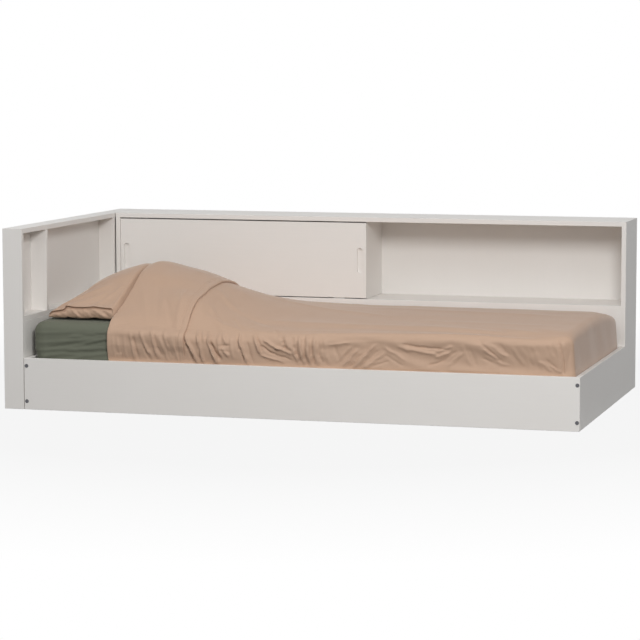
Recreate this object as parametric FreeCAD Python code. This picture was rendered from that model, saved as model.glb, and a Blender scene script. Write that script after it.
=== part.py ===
import FreeCAD, Part
import os
import math

os.makedirs("parts", exist_ok=True)

# Corner bed: a low box for a single mattress, a shallow shelf case across the head end
# and a deep cabinet with one sliding door along the back side.
# X runs from the head case to the foot, Y from the front rail to the cabinet's back, Z up.
# The origin lies on the floor, below the centre of the whole bed. Millimetres.

# ---- driving dimensions: boards and mattress ----
board = 18.0
arris = 0.8
mattress_length = 2000.0
mattress_width = 900.0
mattress_height = 195.0
end_play = 8.0
side_play = 5.0

# ---- driving dimensions: bed box and cases ----
bed_height = 188.0
head_case_depth = 75.0
side_case_depth = 254.0
case_height = 660.0
case_gap = 3.0
shelf_height = 341.0
head_niche_width = 213.0
door_bay_length = 998.0
back_board = 6.0
back_inset = 6.0
groove_depth = 6.0
groove_play = 0.3
back_floor_gap = 12.0

# ---- driving dimensions: sliding door ----
door_thickness = 16.0
door_setback = 2.5
door_end_play = 1.0
door_rear_play = 1.5
door_bottom_gap = 3.5
door_top_gap = 4.5
pull_width = 21.0
pull_height = 98.0
pull_depth = 8.0
pull_from_end = 26.0
track_width = 9.0
track_depth = 9.0
channel_width = 5.0
channel_depth = 7.5
runner_play = 0.3
fitting_play = 0.1
glide_length = 40.0
glide_width = 10.0
glide_mortise = 12.0
guide_bore = 10.0
guide_depth = 24.0
runner_from_end = 110.0

# ---- driving dimensions: slatted base ----
slat_count = 13
slat_width = 70.0
slat_thickness = 12.0
slat_easing = 2.0
slat_end_play = 4.0
slat_top_height = 130.0
first_slat_from_end = 55.0
ledge_width = 25.0
ledge_depth = 30.0
tape_width = 20.0
tape_thickness = 1.2
tape_from_slat_end = 150.0

# ---- driving dimensions: fasteners ----
bolt_shank = 6.0
bolt_hole = 7.0
bolt_length = 66.0
bolt_head = 13.6
bolt_head_thickness = 2.4
bolt_recess = 15.0
bolt_socket = 4.0
bolt_socket_depth = 1.6
bolt_from_top = 28.0
bolt_from_floor = 30.0
barrel_diameter = 10.0
barrel_length = 13.0
barrel_from_end = 40.0
dowel_diameter = 8.0
dowel_length = 30.0
dowel_end_play = 1.0
cam_diameter = 15.0
cam_depth = 12.5
cam_reach = 24.0
cam_bolt_diameter = 6.8
cam_bolt_thread = 11.0
cam_slot_play = 0.8
fitting_spread = 60.0
narrow_spread = 15.0
low_fitting_inset = 60.0
screw_diameter = 4.0
screw_head = 8.0
ledge_screw_length = 36.0
slat_screw_length = 32.0
ledge_screws_per_side = 4
link_diameter = 8.0
link_head = 15.0
link_head_thickness = 1.5
link_inset = 120.0
link_from_floor = 40.0
spacer_diameter = 22.0
hidden_sides = 8
head_sides = 16

# ---- driving dimensions: bedding ----
mattress_corner = 55.0
mattress_edge = 34.0
mattress_crown = 7.0
mattress_waist = 4.0
sheet_thickness = 1.0
cloth_play = 0.3
pillow_from_head = 12.0
pillow_reach = 640.0
pillow_front = 62.0
pillow_width = 740.0
pillow_rise = 150.0
pillow_seam = 14.0
pillow_open_height = 42.0
pillow_draw = 24.0
duvet_fold_from_head = 294.0
duvet_fold_back = 290.0
duvet_tuck = 48.0
duvet_rise = 22.0
duvet_shoulder = 14.0
duvet_shoulder_reach = 70.0
duvet_hump_reach = 100.0
duvet_layer = 9.0
gather_depth = 4.0
gather_between = 0.8
gather_start = 12.0
gather_pitch = 84.0
gather_count = 8

# The pillow's outlines in shares: across its reach or width, and up over its seam.
pillow_side_view = ((0.0, 0.0), (0.07, 0.52), (0.2, 0.86), (0.41, 1.0), (0.62, 0.9), (0.83, 0.54), (1.0, 0.0))
pillow_end_view = ((0.12, 0.58), (0.28, 0.85), (0.5, 1.0), (0.73, 0.85), (0.9, 0.52), (1.0, 0.1))

# The duvet's shoulder as an arc through one point, in shares of its reach and its height:
# on the level part, and where it is steepest, over the pillow.
shoulder_arc_level = (0.2, 0.74)
shoulder_arc_steep = (0.33, 0.62)
steep_from_share = 0.4

# The duvet's cuts across the bed. Each has its place, its rise in the middle, its rise at the
# sides and its draw-in at the front. Over the pillow places go from the fold, and the middle
# rises over the pillow's crest. After the hem the places go from the hem.
cuts_over_pillow = (
    (0.0, 8.0, 58.0, 2.0),
    (8.0, 15.0, 65.0, 0.6),
    (35.0, 21.0, 68.0, 0.3),
    (112.0, 16.0, 68.0, 0.3),
    (192.0, 4.0, 64.0, 0.3),
    (duvet_fold_back, -25.0, 58.0, 0.3),
)
hem_step = 5.0
hem_draw = 1.2
# place, rise in the middle, rise at the sides, reach of the sides
cuts_down_pillow = (
    (60.0, 92.0, 40.0, duvet_hump_reach),
    (138.0, 70.0, 27.0, 90.0),
    (294.0, 42.0, 12.0, duvet_shoulder_reach),
    (450.0, 30.0, 9.0, duvet_shoulder_reach),
)
cuts_down_draw = 0.6
# place before the foot panel, fall in the middle, fall at the sides, draw-in
level_from_hem = 600.0
cuts_at_foot = (
    (400.0, 0.0, 0.0, 0.4),
    (84.0, 2.0, 0.0, 0.6),
    (44.0, 7.0, 4.0, 1.0),
    (20.0, 16.0, 12.0, 2.0),
    (5.0, 36.0, 34.0, 5.0),
    (cloth_play, 80.0, 80.0, 9.0),
)

# ---- sizes that follow ----
inner_length = mattress_length + 2 * end_play
inner_width = mattress_width + 2 * side_play
bed_length = inner_length + 2 * board
bed_depth = inner_width + 2 * board
overall_length = head_case_depth + case_gap + bed_length
overall_depth = bed_depth + side_case_depth

x_head = -overall_length / 2
x_head_face = x_head + head_case_depth
x_bed = x_head_face + case_gap
x_foot = overall_length / 2
x_inside = x_bed + board
x_inside_end = x_foot - board
y_front = -overall_depth / 2
y_inside = y_front + board
y_case = y_front + bed_depth
y_inside_end = y_case - board
y_back = overall_depth / 2
y_back_board = y_back - back_inset - back_board
x_head_back_board = x_head + back_inset
x_head_cavity = x_head_back_board + back_board
z_case_inside = case_height - board
z_shelf_under = shelf_height - board
y_door = y_case + door_setback
y_runner = y_door + door_thickness / 2
y_divider = y_door + door_thickness + door_rear_play
x_divider = x_inside + door_bay_length

V = FreeCAD.Vector
UP = V(0, 0, 1)
ALONG_X = V(1, 0, 0)
ALONG_Y = V(0, 1, 0)


def save(name, pieces):
    """Writes one node: a single solid, or a group of separate like solids."""
    solids = pieces if isinstance(pieces, list) else [pieces]
    shape = solids[0] if len(solids) == 1 else Part.makeCompound(solids)
    shape.exportStep("parts/" + name + ".step")
    print(name, len(shape.Solids), "solid(s),", round(shape.Volume / 1000.0, 1), "cm3")


def box(x, y, z, x_end, y_end, z_end):
    """A plain block between two opposite corners."""
    return Part.makeBox(x_end - x, y_end - y, z_end - z, V(x, y, z))


def panel(x, y, z, x_end, y_end, z_end):
    """A painted board whose edges are eased by a small arris."""
    block = box(x, y, z, x_end, y_end, z_end)
    return block.makeChamfer(arris, block.Edges)


def ring(centre, axis, diameter, sides):
    """A closed outline of a few straight sides whose corners lie on a circle about centre."""
    first = axis.cross(UP) if abs(axis.z) < 0.5 else ALONG_X
    second = axis.cross(first)
    corners = []
    for number in range(sides + 1):
        angle = 2 * math.pi * (number + 0.5) / sides
        corners.append(centre + first * (diameter / 2 * math.cos(angle))
                       + second * (diameter / 2 * math.sin(angle)))
    return Part.makePolygon(corners)


def rod(start, direction, diameter, length, sides=hidden_sides):
    """A bar or bore from a point along a direction, eight-sided where it stays hidden."""
    return Part.Face(ring(start, direction, diameter, sides)).extrude(direction * length)


def taper(start, direction, diameter, end_diameter, length):
    """A short cone, eight-sided as the bars are."""
    outlines = [ring(start, direction, diameter, hidden_sides),
                ring(start + direction * length, direction, end_diameter, hidden_sides)]
    return Part.makeLoft(outlines, True, True)


def without(piece, cuts):
    """The piece after a list of cuts."""
    for cut in cuts:
        piece = piece.cut(cut)
    return piece


# ---- cam and dowel joinery ----
# A cam bolt stands in the face of one board and reaches into the end of the other,
# where a cam let into that board's hidden face draws the two together.

def cam_fitting(face_point, into, cam_side):
    """Cam, cam bolt and their bores, for a joint at face_point.

    into points from the face into the end of the board that holds the cam, and cam_side
    points from that board's middle to the face that the cam is let into.
    """
    cam_centre = face_point + into * cam_reach
    cam_foot = cam_centre + cam_side * (board / 2 - cam_depth)
    cam_bore = rod(cam_foot, cam_side, cam_diameter + 2 * fitting_play, cam_depth)
    cam = rod(cam_foot, cam_side, cam_diameter, cam_depth)
    slot_length = cam_diameter / 2 + fitting_play
    slot = rod(cam_centre - into * slot_length, into, cam_bolt_diameter + cam_slot_play, slot_length)
    cam = cam.cut(slot)
    bolt_foot = face_point - into * cam_bolt_thread
    bolt = rod(bolt_foot, into, cam_bolt_diameter, cam_bolt_thread + cam_reach - fitting_play)
    play = 2 * fitting_play
    face_bore = rod(bolt_foot, into, cam_bolt_diameter + play, cam_bolt_thread)
    end_bore = rod(face_point, into, cam_bolt_diameter + play, cam_reach)
    return {"cam": cam, "bolt": bolt, "face_cuts": [face_bore], "end_cuts": [end_bore, cam_bore]}


def dowel_fitting(face_point, into):
    """Dowel and its two bores, half in the face of one board and half in the end of the other."""
    half = dowel_length / 2
    dowel = rod(face_point - into * (half - dowel_end_play), into, dowel_diameter,
                dowel_length - 2 * dowel_end_play)
    bore = dowel_diameter + 2 * fitting_play
    return {"dowel": dowel, "face_cuts": [rod(face_point, into * -1, bore, half)],
            "end_cuts": [rod(face_point, into, bore, half)]}


class Joinery:
    """Collects the fittings of one case and the bores that each of its boards gets."""

    def __init__(self):
        self.cams = []
        self.bolts = []
        self.dowels = []
        self.cuts = {}

    def bore(self, name, cuts):
        self.cuts.setdefault(name, []).extend(cuts)

    def cam(self, face_board, end_board, face_point, into, cam_side):
        fitting = cam_fitting(face_point, into, cam_side)
        self.cams.append(fitting["cam"])
        self.bolts.append(fitting["bolt"])
        self.bore(face_board, fitting["face_cuts"])
        self.bore(end_board, fitting["end_cuts"])

    def dowel(self, face_board, end_board, face_point, into):
        fitting = dowel_fitting(face_point, into)
        self.dowels.append(fitting["dowel"])
        self.bore(face_board, fitting["face_cuts"])
        self.bore(end_board, fitting["end_cuts"])


# ---- links between the cases and the bed box ----
# A sleeve bolt goes through both boards, and a washer fills the shadow gap between them.

link_span = 2 * board + case_gap
link_points = []
for link_y in (y_inside + link_inset, y_inside_end - link_inset):
    link_points.append(V(x_head_face - board, link_y, link_from_floor))
for link_z in (link_from_floor, z_shelf_under - link_from_floor):
    link_points.append(V(x_head_face - board, (y_case + y_back) / 2, link_z))


def link_bores(span_start, span):
    """The bores that the sleeve bolts need through one board, heads let in flush."""
    bores = []
    for point in link_points:
        start = V(span_start, point.y, point.z)
        bores.append(rod(start, ALONG_X, link_diameter + 2 * fitting_play, span))
    return bores


def make_links():
    bolts = []
    spacers = []
    recess = link_head_thickness
    for point in link_points:
        sleeve = rod(point, ALONG_X, link_diameter, link_span)
        near_head = rod(point - ALONG_X * recess, ALONG_X, link_head, recess)
        far_head = rod(point + ALONG_X * link_span, ALONG_X, link_head, recess)
        bolts.append(sleeve.fuse(near_head).fuse(far_head).removeSplitter())
        washer_start = V(x_head_face, point.y, point.z)
        washer = rod(washer_start, ALONG_X, spacer_diameter, case_gap)
        hole = rod(washer_start, ALONG_X, link_diameter + 2 * fitting_play, case_gap)
        spacers.append(washer.cut(hole))
    save("case_link_bolts", bolts)
    save("case_link_spacers", spacers)


# ---- head case ----

def head_case():
    joinery = Joinery()
    y_end = y_back - board
    y_divider_near = y_inside + head_niche_width
    y_partition = y_case - board
    mid_depth = (x_head_cavity + x_head_face) / 2
    x_low_mid = x_head_face - board / 2
    z_top_mid = case_height - board / 2
    z_shelf_mid = shelf_height - board / 2
    low_levels = (low_fitting_inset, z_shelf_under - low_fitting_inset)

    for end_name, y_face, into in (("front_end", y_inside, ALONG_Y), ("rear_end", y_end, ALONG_Y * -1)):
        for board_name, z_mid in (("top", z_top_mid), ("shelf", z_shelf_mid)):
            joinery.cam(end_name, board_name, V(mid_depth - narrow_spread, y_face, z_mid), into, UP * -1)
            joinery.dowel(end_name, board_name, V(mid_depth + narrow_spread, y_face, z_mid), into)
        joinery.cam(end_name, "lower_front", V(x_low_mid, y_face, low_levels[1]), into, ALONG_X * -1)
        joinery.dowel(end_name, "lower_front", V(x_low_mid, y_face, low_levels[0]), into)
    for y_board in (y_divider_near, y_partition):
        name = "divider" if y_board == y_divider_near else "partition"
        joinery.dowel("top", name, V(mid_depth, y_board + board / 2, z_case_inside), UP * -1)
        joinery.dowel("shelf", name, V(mid_depth, y_board + board / 2, shelf_height), UP)

    back_groove = box(x_head_back_board, y_inside - groove_depth, back_floor_gap,
                      x_head_cavity, y_end + groove_depth, z_case_inside + groove_depth)
    boards = {
        "front_end": (x_head, y_front, 0.0, x_head_face, y_inside, case_height),
        "rear_end": (x_head, y_end, 0.0, x_head_face, y_back, case_height),
        "top": (x_head, y_inside, z_case_inside, x_head_face, y_end, case_height),
        "shelf": (x_head_cavity, y_inside, z_shelf_under, x_head_face, y_end, shelf_height),
        "lower_front": (x_head_face - board, y_inside, 0.0, x_head_face, y_end, z_shelf_under),
        "divider": (x_head_cavity, y_divider_near, shelf_height,
                    x_head_face, y_divider_near + board, z_case_inside),
        "partition": (x_head_cavity, y_partition, shelf_height,
                      x_head_face, y_partition + board, z_case_inside),
    }
    for name, corners in boards.items():
        piece = panel(*corners)
        cuts = joinery.cuts.get(name, [])
        if name in ("front_end", "rear_end", "top"):
            cuts = cuts + [back_groove]
        if name == "lower_front":
            cuts = cuts + link_bores(x_head_face - board, board)
        save("head_case_" + name, without(piece, cuts))
    save("head_case_back", box(x_head_back_board, y_inside - groove_depth + groove_play,
                               back_floor_gap + groove_play, x_head_cavity,
                               y_end + groove_depth - groove_play,
                               z_case_inside + groove_depth - groove_play))
    save("head_case_cams", joinery.cams)
    save("head_case_cam_bolts", joinery.bolts)
    save("head_case_dowels", joinery.dowels)


# ---- side case ----

def track(z_open, upward):
    """A channel profile that the door's runners slide in, let in flush with its board."""
    sign = -1.0 if upward else 1.0
    z_floor = z_open + sign * track_depth
    z_channel = z_open + sign * channel_depth
    outer = box(x_inside, y_runner - track_width / 2, min(z_open, z_floor),
                x_inside_end, y_runner + track_width / 2, max(z_open, z_floor))
    channel = box(x_inside, y_runner - channel_width / 2, min(z_open, z_channel),
                  x_inside_end, y_runner + channel_width / 2, max(z_open, z_channel))
    return outer, outer.cut(channel)


def side_case():
    joinery = Joinery()
    y_mid = (y_case + y_back_board) / 2
    y_low_mid = y_case + board / 2
    z_shelf_mid = shelf_height - board / 2
    low_levels = (low_fitting_inset, z_shelf_under - low_fitting_inset)

    for end_name, x_face, x_mid, into in (
            ("left_end", x_inside, x_bed + board / 2, ALONG_X),
            ("right_end", x_inside_end, x_foot - board / 2, ALONG_X * -1)):
        joinery.cam("top", end_name, V(x_mid, y_mid - fitting_spread, z_case_inside), UP * -1, into)
        joinery.dowel("top", end_name, V(x_mid, y_mid + fitting_spread, z_case_inside), UP * -1)
        joinery.cam(end_name, "shelf", V(x_face, y_mid - fitting_spread, z_shelf_mid), into, UP * -1)
        joinery.dowel(end_name, "shelf", V(x_face, y_mid + fitting_spread, z_shelf_mid), into)
        joinery.cam(end_name, "lower_front", V(x_face, y_low_mid, low_levels[1]), into, ALONG_Y)
        joinery.dowel(end_name, "lower_front", V(x_face, y_low_mid, low_levels[0]), into)
    x_divider_mid = x_divider + board / 2
    for offset in (-fitting_spread, fitting_spread):
        joinery.dowel("top", "divider", V(x_divider_mid, y_mid + offset, z_case_inside), UP * -1)
        joinery.dowel("shelf", "divider", V(x_divider_mid, y_mid + offset, shelf_height), UP)
    joinery.dowel("lower_front", "lower_divider",
                  V(x_divider_mid, y_case + board, sum(low_levels) / 2), ALONG_Y)

    bottom_slot, bottom_track = track(shelf_height, True)
    top_slot, top_track = track(z_case_inside, False)
    back_groove = box(x_inside - groove_depth, y_back_board, back_floor_gap,
                      x_inside_end + groove_depth, y_back_board + back_board,
                      z_case_inside + groove_depth)
    boards = {
        "left_end": (x_bed, y_case, 0.0, x_inside, y_back, z_case_inside),
        "right_end": (x_inside_end, y_case, 0.0, x_foot, y_back, z_case_inside),
        "top": (x_bed, y_case, z_case_inside, x_foot, y_back, case_height),
        "shelf": (x_inside, y_case, z_shelf_under, x_inside_end, y_back_board, shelf_height),
        "lower_front": (x_inside, y_case, 0.0, x_inside_end, y_case + board, z_shelf_under),
        "divider": (x_divider, y_divider, shelf_height, x_divider + board, y_back_board, z_case_inside),
        "lower_divider": (x_divider, y_case + board, 0.0, x_divider + board, y_back_board, z_shelf_under),
    }
    for name, corners in boards.items():
        piece = panel(*corners)
        cuts = joinery.cuts.get(name, [])
        if name in ("left_end", "right_end", "top"):
            cuts = cuts + [back_groove]
        if name == "left_end":
            cuts = cuts + link_bores(x_bed, board)
        if name == "shelf":
            cuts = cuts + [bottom_slot]
        if name == "top":
            cuts = cuts + [top_slot]
        save("side_case_" + name, without(piece, cuts))
    save("side_case_back", box(x_inside - groove_depth + groove_play, y_back_board,
                               back_floor_gap + groove_play,
                               x_inside_end + groove_depth - groove_play,
                               y_back_board + back_board,
                               z_case_inside + groove_depth - groove_play))
    save("door_bottom_track", bottom_track)
    save("door_top_track", top_track)
    save("side_case_cams", joinery.cams)
    save("side_case_cam_bolts", joinery.bolts)
    save("side_case_dowels", joinery.dowels)


# ---- sliding door ----

def obround(centre, length, width, height, long_axis, up_axis):
    """A prism with half-round ends, standing on centre along up_axis."""
    straight = (length - width) / 2
    side = up_axis.cross(long_axis)
    near = centre - long_axis * straight
    far = centre + long_axis * straight
    half = side * (width / 2)
    tip = long_axis * (width / 2)
    edges = [
        Part.LineSegment(near - half, far - half).toShape(),
        Part.Arc(far - half, far + tip, far + half).toShape(),
        Part.LineSegment(far + half, near + half).toShape(),
        Part.Arc(near + half, near - tip, near - half).toShape(),
    ]
    return Part.Face(Part.Wire(edges)).extrude(up_axis * height)


def block_about(foot, length, width, height):
    """A block that stands on foot, centred on it along X and Y."""
    corner = foot - V(length / 2, width / 2, 0)
    return Part.makeBox(length, width, height, corner)


def sliding_door():
    x_door = x_inside + door_end_play
    x_door_end = x_divider + board
    z_door = shelf_height + door_bottom_gap
    z_door_end = z_case_inside - door_top_gap
    z_mid = (z_door + z_door_end) / 2
    door = panel(x_door, y_door, z_door, x_door_end, y_door + door_thickness, z_door_end)
    for x_pull in (x_door + pull_from_end, x_door_end - pull_from_end):
        pull = obround(V(x_pull, y_door, z_mid), pull_height, pull_width, pull_depth, UP, ALONG_Y)
        door = door.cut(pull)

    glides = []
    guides = []
    z_fin = shelf_height - channel_depth + runner_play
    z_pin = z_case_inside + channel_depth - runner_play
    for x_runner in (x_door + runner_from_end, x_door_end - runner_from_end):
        foot = V(x_runner, y_runner, z_door)
        door = door.cut(block_about(foot, glide_length + 2 * fitting_play,
                                    glide_width + 2 * fitting_play, glide_mortise + fitting_play))
        shoe = block_about(foot, glide_length, glide_width, glide_mortise)
        fin = block_about(V(x_runner, y_runner, z_fin), glide_length, channel_width - 2 * runner_play,
                          z_door - z_fin)
        glides.append(shoe.fuse(fin).removeSplitter())
        seat = V(x_runner, y_runner, z_door_end - guide_depth)
        door = door.cut(rod(seat, UP, guide_bore + 2 * fitting_play, guide_depth))
        housing = rod(seat, UP, guide_bore, guide_depth)
        pin = rod(seat, UP, channel_width - 2 * runner_play, z_pin - seat.z)
        guides.append(housing.fuse(pin).removeSplitter())
    save("sliding_door", door)
    save("door_bottom_glides", glides)
    save("door_top_guides", guides)


# ---- bed box ----

def bed_bolt(point, into, across):
    """One bolt with its hex socket, its barrel nut, and the bores that both need.

    point lies on the rail's outer face, into runs through the rail, and across points
    from the middle of the end board to its inner face.
    """
    head = rod(point, into, bolt_head, bolt_head_thickness, head_sides)
    shank = rod(point + into * bolt_head_thickness, into, bolt_shank, bolt_length)
    socket = rod(point, into, bolt_socket * 2 / math.sqrt(3.0), bolt_socket_depth, 6)
    nut_centre = point + into * (board + barrel_from_end)
    nut_start = nut_centre + across * (board / 2 - barrel_length)
    nut = rod(nut_start, across, barrel_diameter, barrel_length)
    nut = nut.cut(rod(nut_centre - into * barrel_diameter, into, bolt_shank + 2 * fitting_play,
                      2 * barrel_diameter))
    bolt = head.fuse(shank).removeSplitter().cut(socket)
    rail_cuts = [rod(point, into, bolt_recess, bolt_head_thickness, head_sides),
                 rod(point, into, bolt_hole, board)]
    end_start = point + into * board
    end_cuts = [rod(end_start, into, bolt_hole, bolt_length - board + 2 * bolt_head_thickness),
                rod(nut_start, across, barrel_diameter + 2 * fitting_play, barrel_length)]
    return bolt, nut, rail_cuts, end_cuts


def bed_box():
    bolts = []
    nuts = []
    rail_cuts = {"front": [], "back": []}
    end_cuts = {"head": [], "foot": []}
    bolt_levels = (bolt_from_floor, bed_height - bolt_from_top)
    for rail, y_face, into in (("front", y_front, ALONG_Y), ("back", y_case, ALONG_Y * -1)):
        for end, x_mid, across in (("head", x_bed + board / 2, ALONG_X),
                                   ("foot", x_foot - board / 2, ALONG_X * -1)):
            for level in bolt_levels:
                bolt, nut, in_rail, in_end = bed_bolt(V(x_mid, y_face, level), into, across)
                bolts.append(bolt)
                nuts.append(nut)
                rail_cuts[rail].extend(in_rail)
                end_cuts[end].extend(in_end)
    rails = {"front": (y_front, y_inside), "back": (y_inside_end, y_case)}
    ends = {"head": (x_bed, x_inside), "foot": (x_inside_end, x_foot)}

    ledge_top = slat_top_height - slat_thickness
    ledges = {"front": y_inside, "back": y_inside_end - ledge_width}
    screws = []
    slat_screws = []
    ledge_z = ledge_top - ledge_depth / 2
    pitch = inner_length / ledge_screws_per_side
    for side in ("front", "back"):
        into = ALONG_Y * (-1 if side == "front" else 1)
        inner_face = ledges[side] + (ledge_width if side == "front" else 0.0)
        ledge_cuts = []
        for count in range(ledge_screws_per_side):
            point = V(x_inside + pitch * (count + 0.5), inner_face, ledge_z)
            screw, bore = countersunk_screw(point, into, ledge_screw_length)
            screws.append(screw)
            ledge_cuts.append(bore)
            rail_cuts[side].append(bore)
        for x_slat in (slat_centre(0), slat_centre(slat_count - 1)):
            y_screw = ledges[side] + ledge_width / 2
            point = V(x_slat, y_screw, slat_top_height)
            screw, bore = countersunk_screw(point, UP * -1, slat_screw_length)
            slat_screws.append(screw)
            ledge_cuts.append(bore)
        ledge = panel(x_inside, ledges[side], ledge_top - ledge_depth,
                      x_inside_end, ledges[side] + ledge_width, ledge_top)
        save("slat_ledge_" + side, without(ledge, ledge_cuts))
    for side, (y_near, y_far) in rails.items():
        rail = panel(x_bed, y_near, 0.0, x_foot, y_far, bed_height)
        save(side + "_rail", without(rail, rail_cuts[side]))
    for end, (x_near, x_far) in ends.items():
        board_piece = panel(x_near, y_inside, 0.0, x_far, y_inside_end, bed_height)
        cuts = end_cuts[end] + (link_bores(x_bed, board) if end == "head" else [])
        save(end + "_panel", without(board_piece, cuts))
    save("bed_bolts", bolts)
    save("bed_barrel_nuts", nuts)
    save("ledge_screws", screws)
    save("slat_screws", slat_screws)
    slats()


def countersunk_screw(point, into, length):
    """A wood screw with a flat countersunk head, flush at point, and the hole that it fills."""
    sink = (screw_head - screw_diameter) / 2
    cone = taper(point, into, screw_head, screw_diameter, sink)
    shank = rod(point + into * sink, into, screw_diameter, length - sink)
    play = 2 * fitting_play
    wide_cone = taper(point, into, screw_head + play, screw_diameter + play, sink)
    hole = rod(point, into, screw_diameter + play, length + fitting_play)
    return cone.fuse(shank).removeSplitter(), wide_cone.fuse(hole)


def slat_centre(number):
    """Distance along the bed of one slat's middle line."""
    pitch = (inner_length - 2 * first_slat_from_end) / (slat_count - 1)
    return x_inside + first_slat_from_end + pitch * number


def slats():
    """Flat slats with eased long edges on the ledges, kept apart by two tapes."""
    y_start = y_inside + slat_end_play
    y_end = y_inside_end - slat_end_play
    z_low = slat_top_height - slat_thickness
    for number in range(slat_count):
        x_mid = slat_centre(number)
        block = box(x_mid - slat_width / 2, y_start, z_low, x_mid + slat_width / 2, y_end, slat_top_height)
        long_edges = [edge for edge in block.Edges if edge.Length > slat_width + slat_thickness]
        slat = block.makeChamfer(slat_easing, long_edges)
        if number in (0, slat_count - 1):
            for side_y in (y_inside + ledge_width / 2, y_inside_end - ledge_width / 2):
                point = V(x_mid, side_y, slat_top_height)
                slat = slat.cut(countersunk_screw(point, UP * -1, slat_screw_length)[1])
        save("slat_%02d" % (number + 1), slat)
    tapes = []
    x_tape = slat_centre(0) - slat_width / 2
    x_tape_end = slat_centre(slat_count - 1) + slat_width / 2
    for y_tape in (y_start + tape_from_slat_end, y_end - tape_from_slat_end - tape_width):
        tapes.append(box(x_tape, y_tape, slat_top_height,
                         x_tape_end, y_tape + tape_width, slat_top_height + tape_thickness))
    save("slat_tapes", tapes)


# ---- bedding ----

def rounded_rectangle(centre, first, second, width, height, radius):
    """A closed outline of lines and quarter arcs about centre, in the plane of two axes."""
    a = width / 2 - radius
    b = height / 2 - radius
    nook = radius * (1 - math.sqrt(0.5))
    edges = []

    def at(u, v):
        return centre + first * u + second * v

    corners = [(1, 1), (-1, 1), (-1, -1), (1, -1)]
    for number, (sx, sy) in enumerate(corners):
        tip = at(sx * (a + radius - nook), sy * (b + radius - nook))
        side_point = at(sx * (a + radius), sy * b)
        end_point = at(sx * a, sy * (b + radius))
        if sx * sy > 0:
            edges.append(Part.Arc(side_point, tip, end_point).toShape())
            edges.append(Part.LineSegment(end_point, at(-sx * a, sy * (b + radius))).toShape())
        else:
            edges.append(Part.Arc(end_point, tip, side_point).toShape())
            edges.append(Part.LineSegment(side_point, at(sx * (a + radius), -sy * b)).toShape())
    return Part.Wire(edges)


x_mattress = x_inside + end_play
y_mattress = y_inside + side_play
z_mattress = slat_top_height + tape_thickness + cloth_play
z_mattress_top = z_mattress + mattress_height
z_mattress_edge = z_mattress_top - mattress_crown - mattress_edge
z_bed_surface = z_mattress_top + cloth_play + sheet_thickness
x_mattress_mid = x_mattress + mattress_length / 2
y_mattress_mid = y_mattress + mattress_width / 2


def prism(edges, direction, length):
    """A closed outline of lines and arcs, carried straight along one axis."""
    near = Part.Wire(edges)
    far = near.copy()
    far.translate(direction * length)
    return Part.makeLoft([near, far], True, True)


def crowned_outline(at, start, end, z_bottom, grow):
    """The mattress seen from one side: drawn-in foot, round upper edges and a low crown.

    at turns a distance along the side and a height into a point.
    """
    edge = mattress_edge
    nook = (edge + grow) * math.sqrt(0.5)
    z_flat = z_mattress_edge + edge + grow
    z_crown = z_mattress_top + grow
    low_start = at(start + mattress_waist - grow, z_bottom)
    low_end = at(end - mattress_waist + grow, z_bottom)
    high_start = at(start - grow, z_mattress_edge)
    high_end = at(end + grow, z_mattress_edge)
    top_start = at(start + edge, z_flat)
    top_end = at(end - edge, z_flat)
    return [
        Part.LineSegment(low_start, high_start).toShape(),
        Part.Arc(high_start, at(start + edge - nook, z_mattress_edge + nook), top_start).toShape(),
        Part.Arc(top_start, at((start + end) / 2, z_crown), top_end).toShape(),
        Part.Arc(top_end, at(end - edge + nook, z_mattress_edge + nook), high_end).toShape(),
        Part.LineSegment(high_end, low_end).toShape(),
        Part.LineSegment(low_end, low_start).toShape(),
    ]


def mattress_form(grow, z_bottom):
    """The mattress, grown on all sides but the bottom: what its three outlines have in common."""
    x_end = x_mattress + mattress_length
    y_end = y_mattress + mattress_width
    y_out = y_mattress - 2 * grow
    x_out = x_mattress - 2 * grow
    side_view = prism(
        crowned_outline(lambda x, z: V(x, y_out, z), x_mattress, x_end, z_bottom, grow),
        ALONG_Y, mattress_width + 4 * grow)
    end_view = prism(
        crowned_outline(lambda y, z: V(x_out, y, z), y_mattress, y_end, z_bottom, grow),
        ALONG_X, mattress_length + 4 * grow)
    plan = rounded_rectangle(V(x_mattress_mid, y_mattress_mid, z_bottom), ALONG_X, ALONG_Y,
                             mattress_length + 2 * grow, mattress_width + 2 * grow,
                             mattress_corner + grow)
    top_view = prism(plan.Edges, UP, mattress_height + mattress_width)
    return side_view.common(end_view).common(top_view)


def arcs_through(points):
    """Arcs over every three points in a row, each from where the last one ends."""
    return [Part.Arc(*points[number:number + 3]).toShape() for number in range(0, len(points) - 2, 2)]


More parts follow.
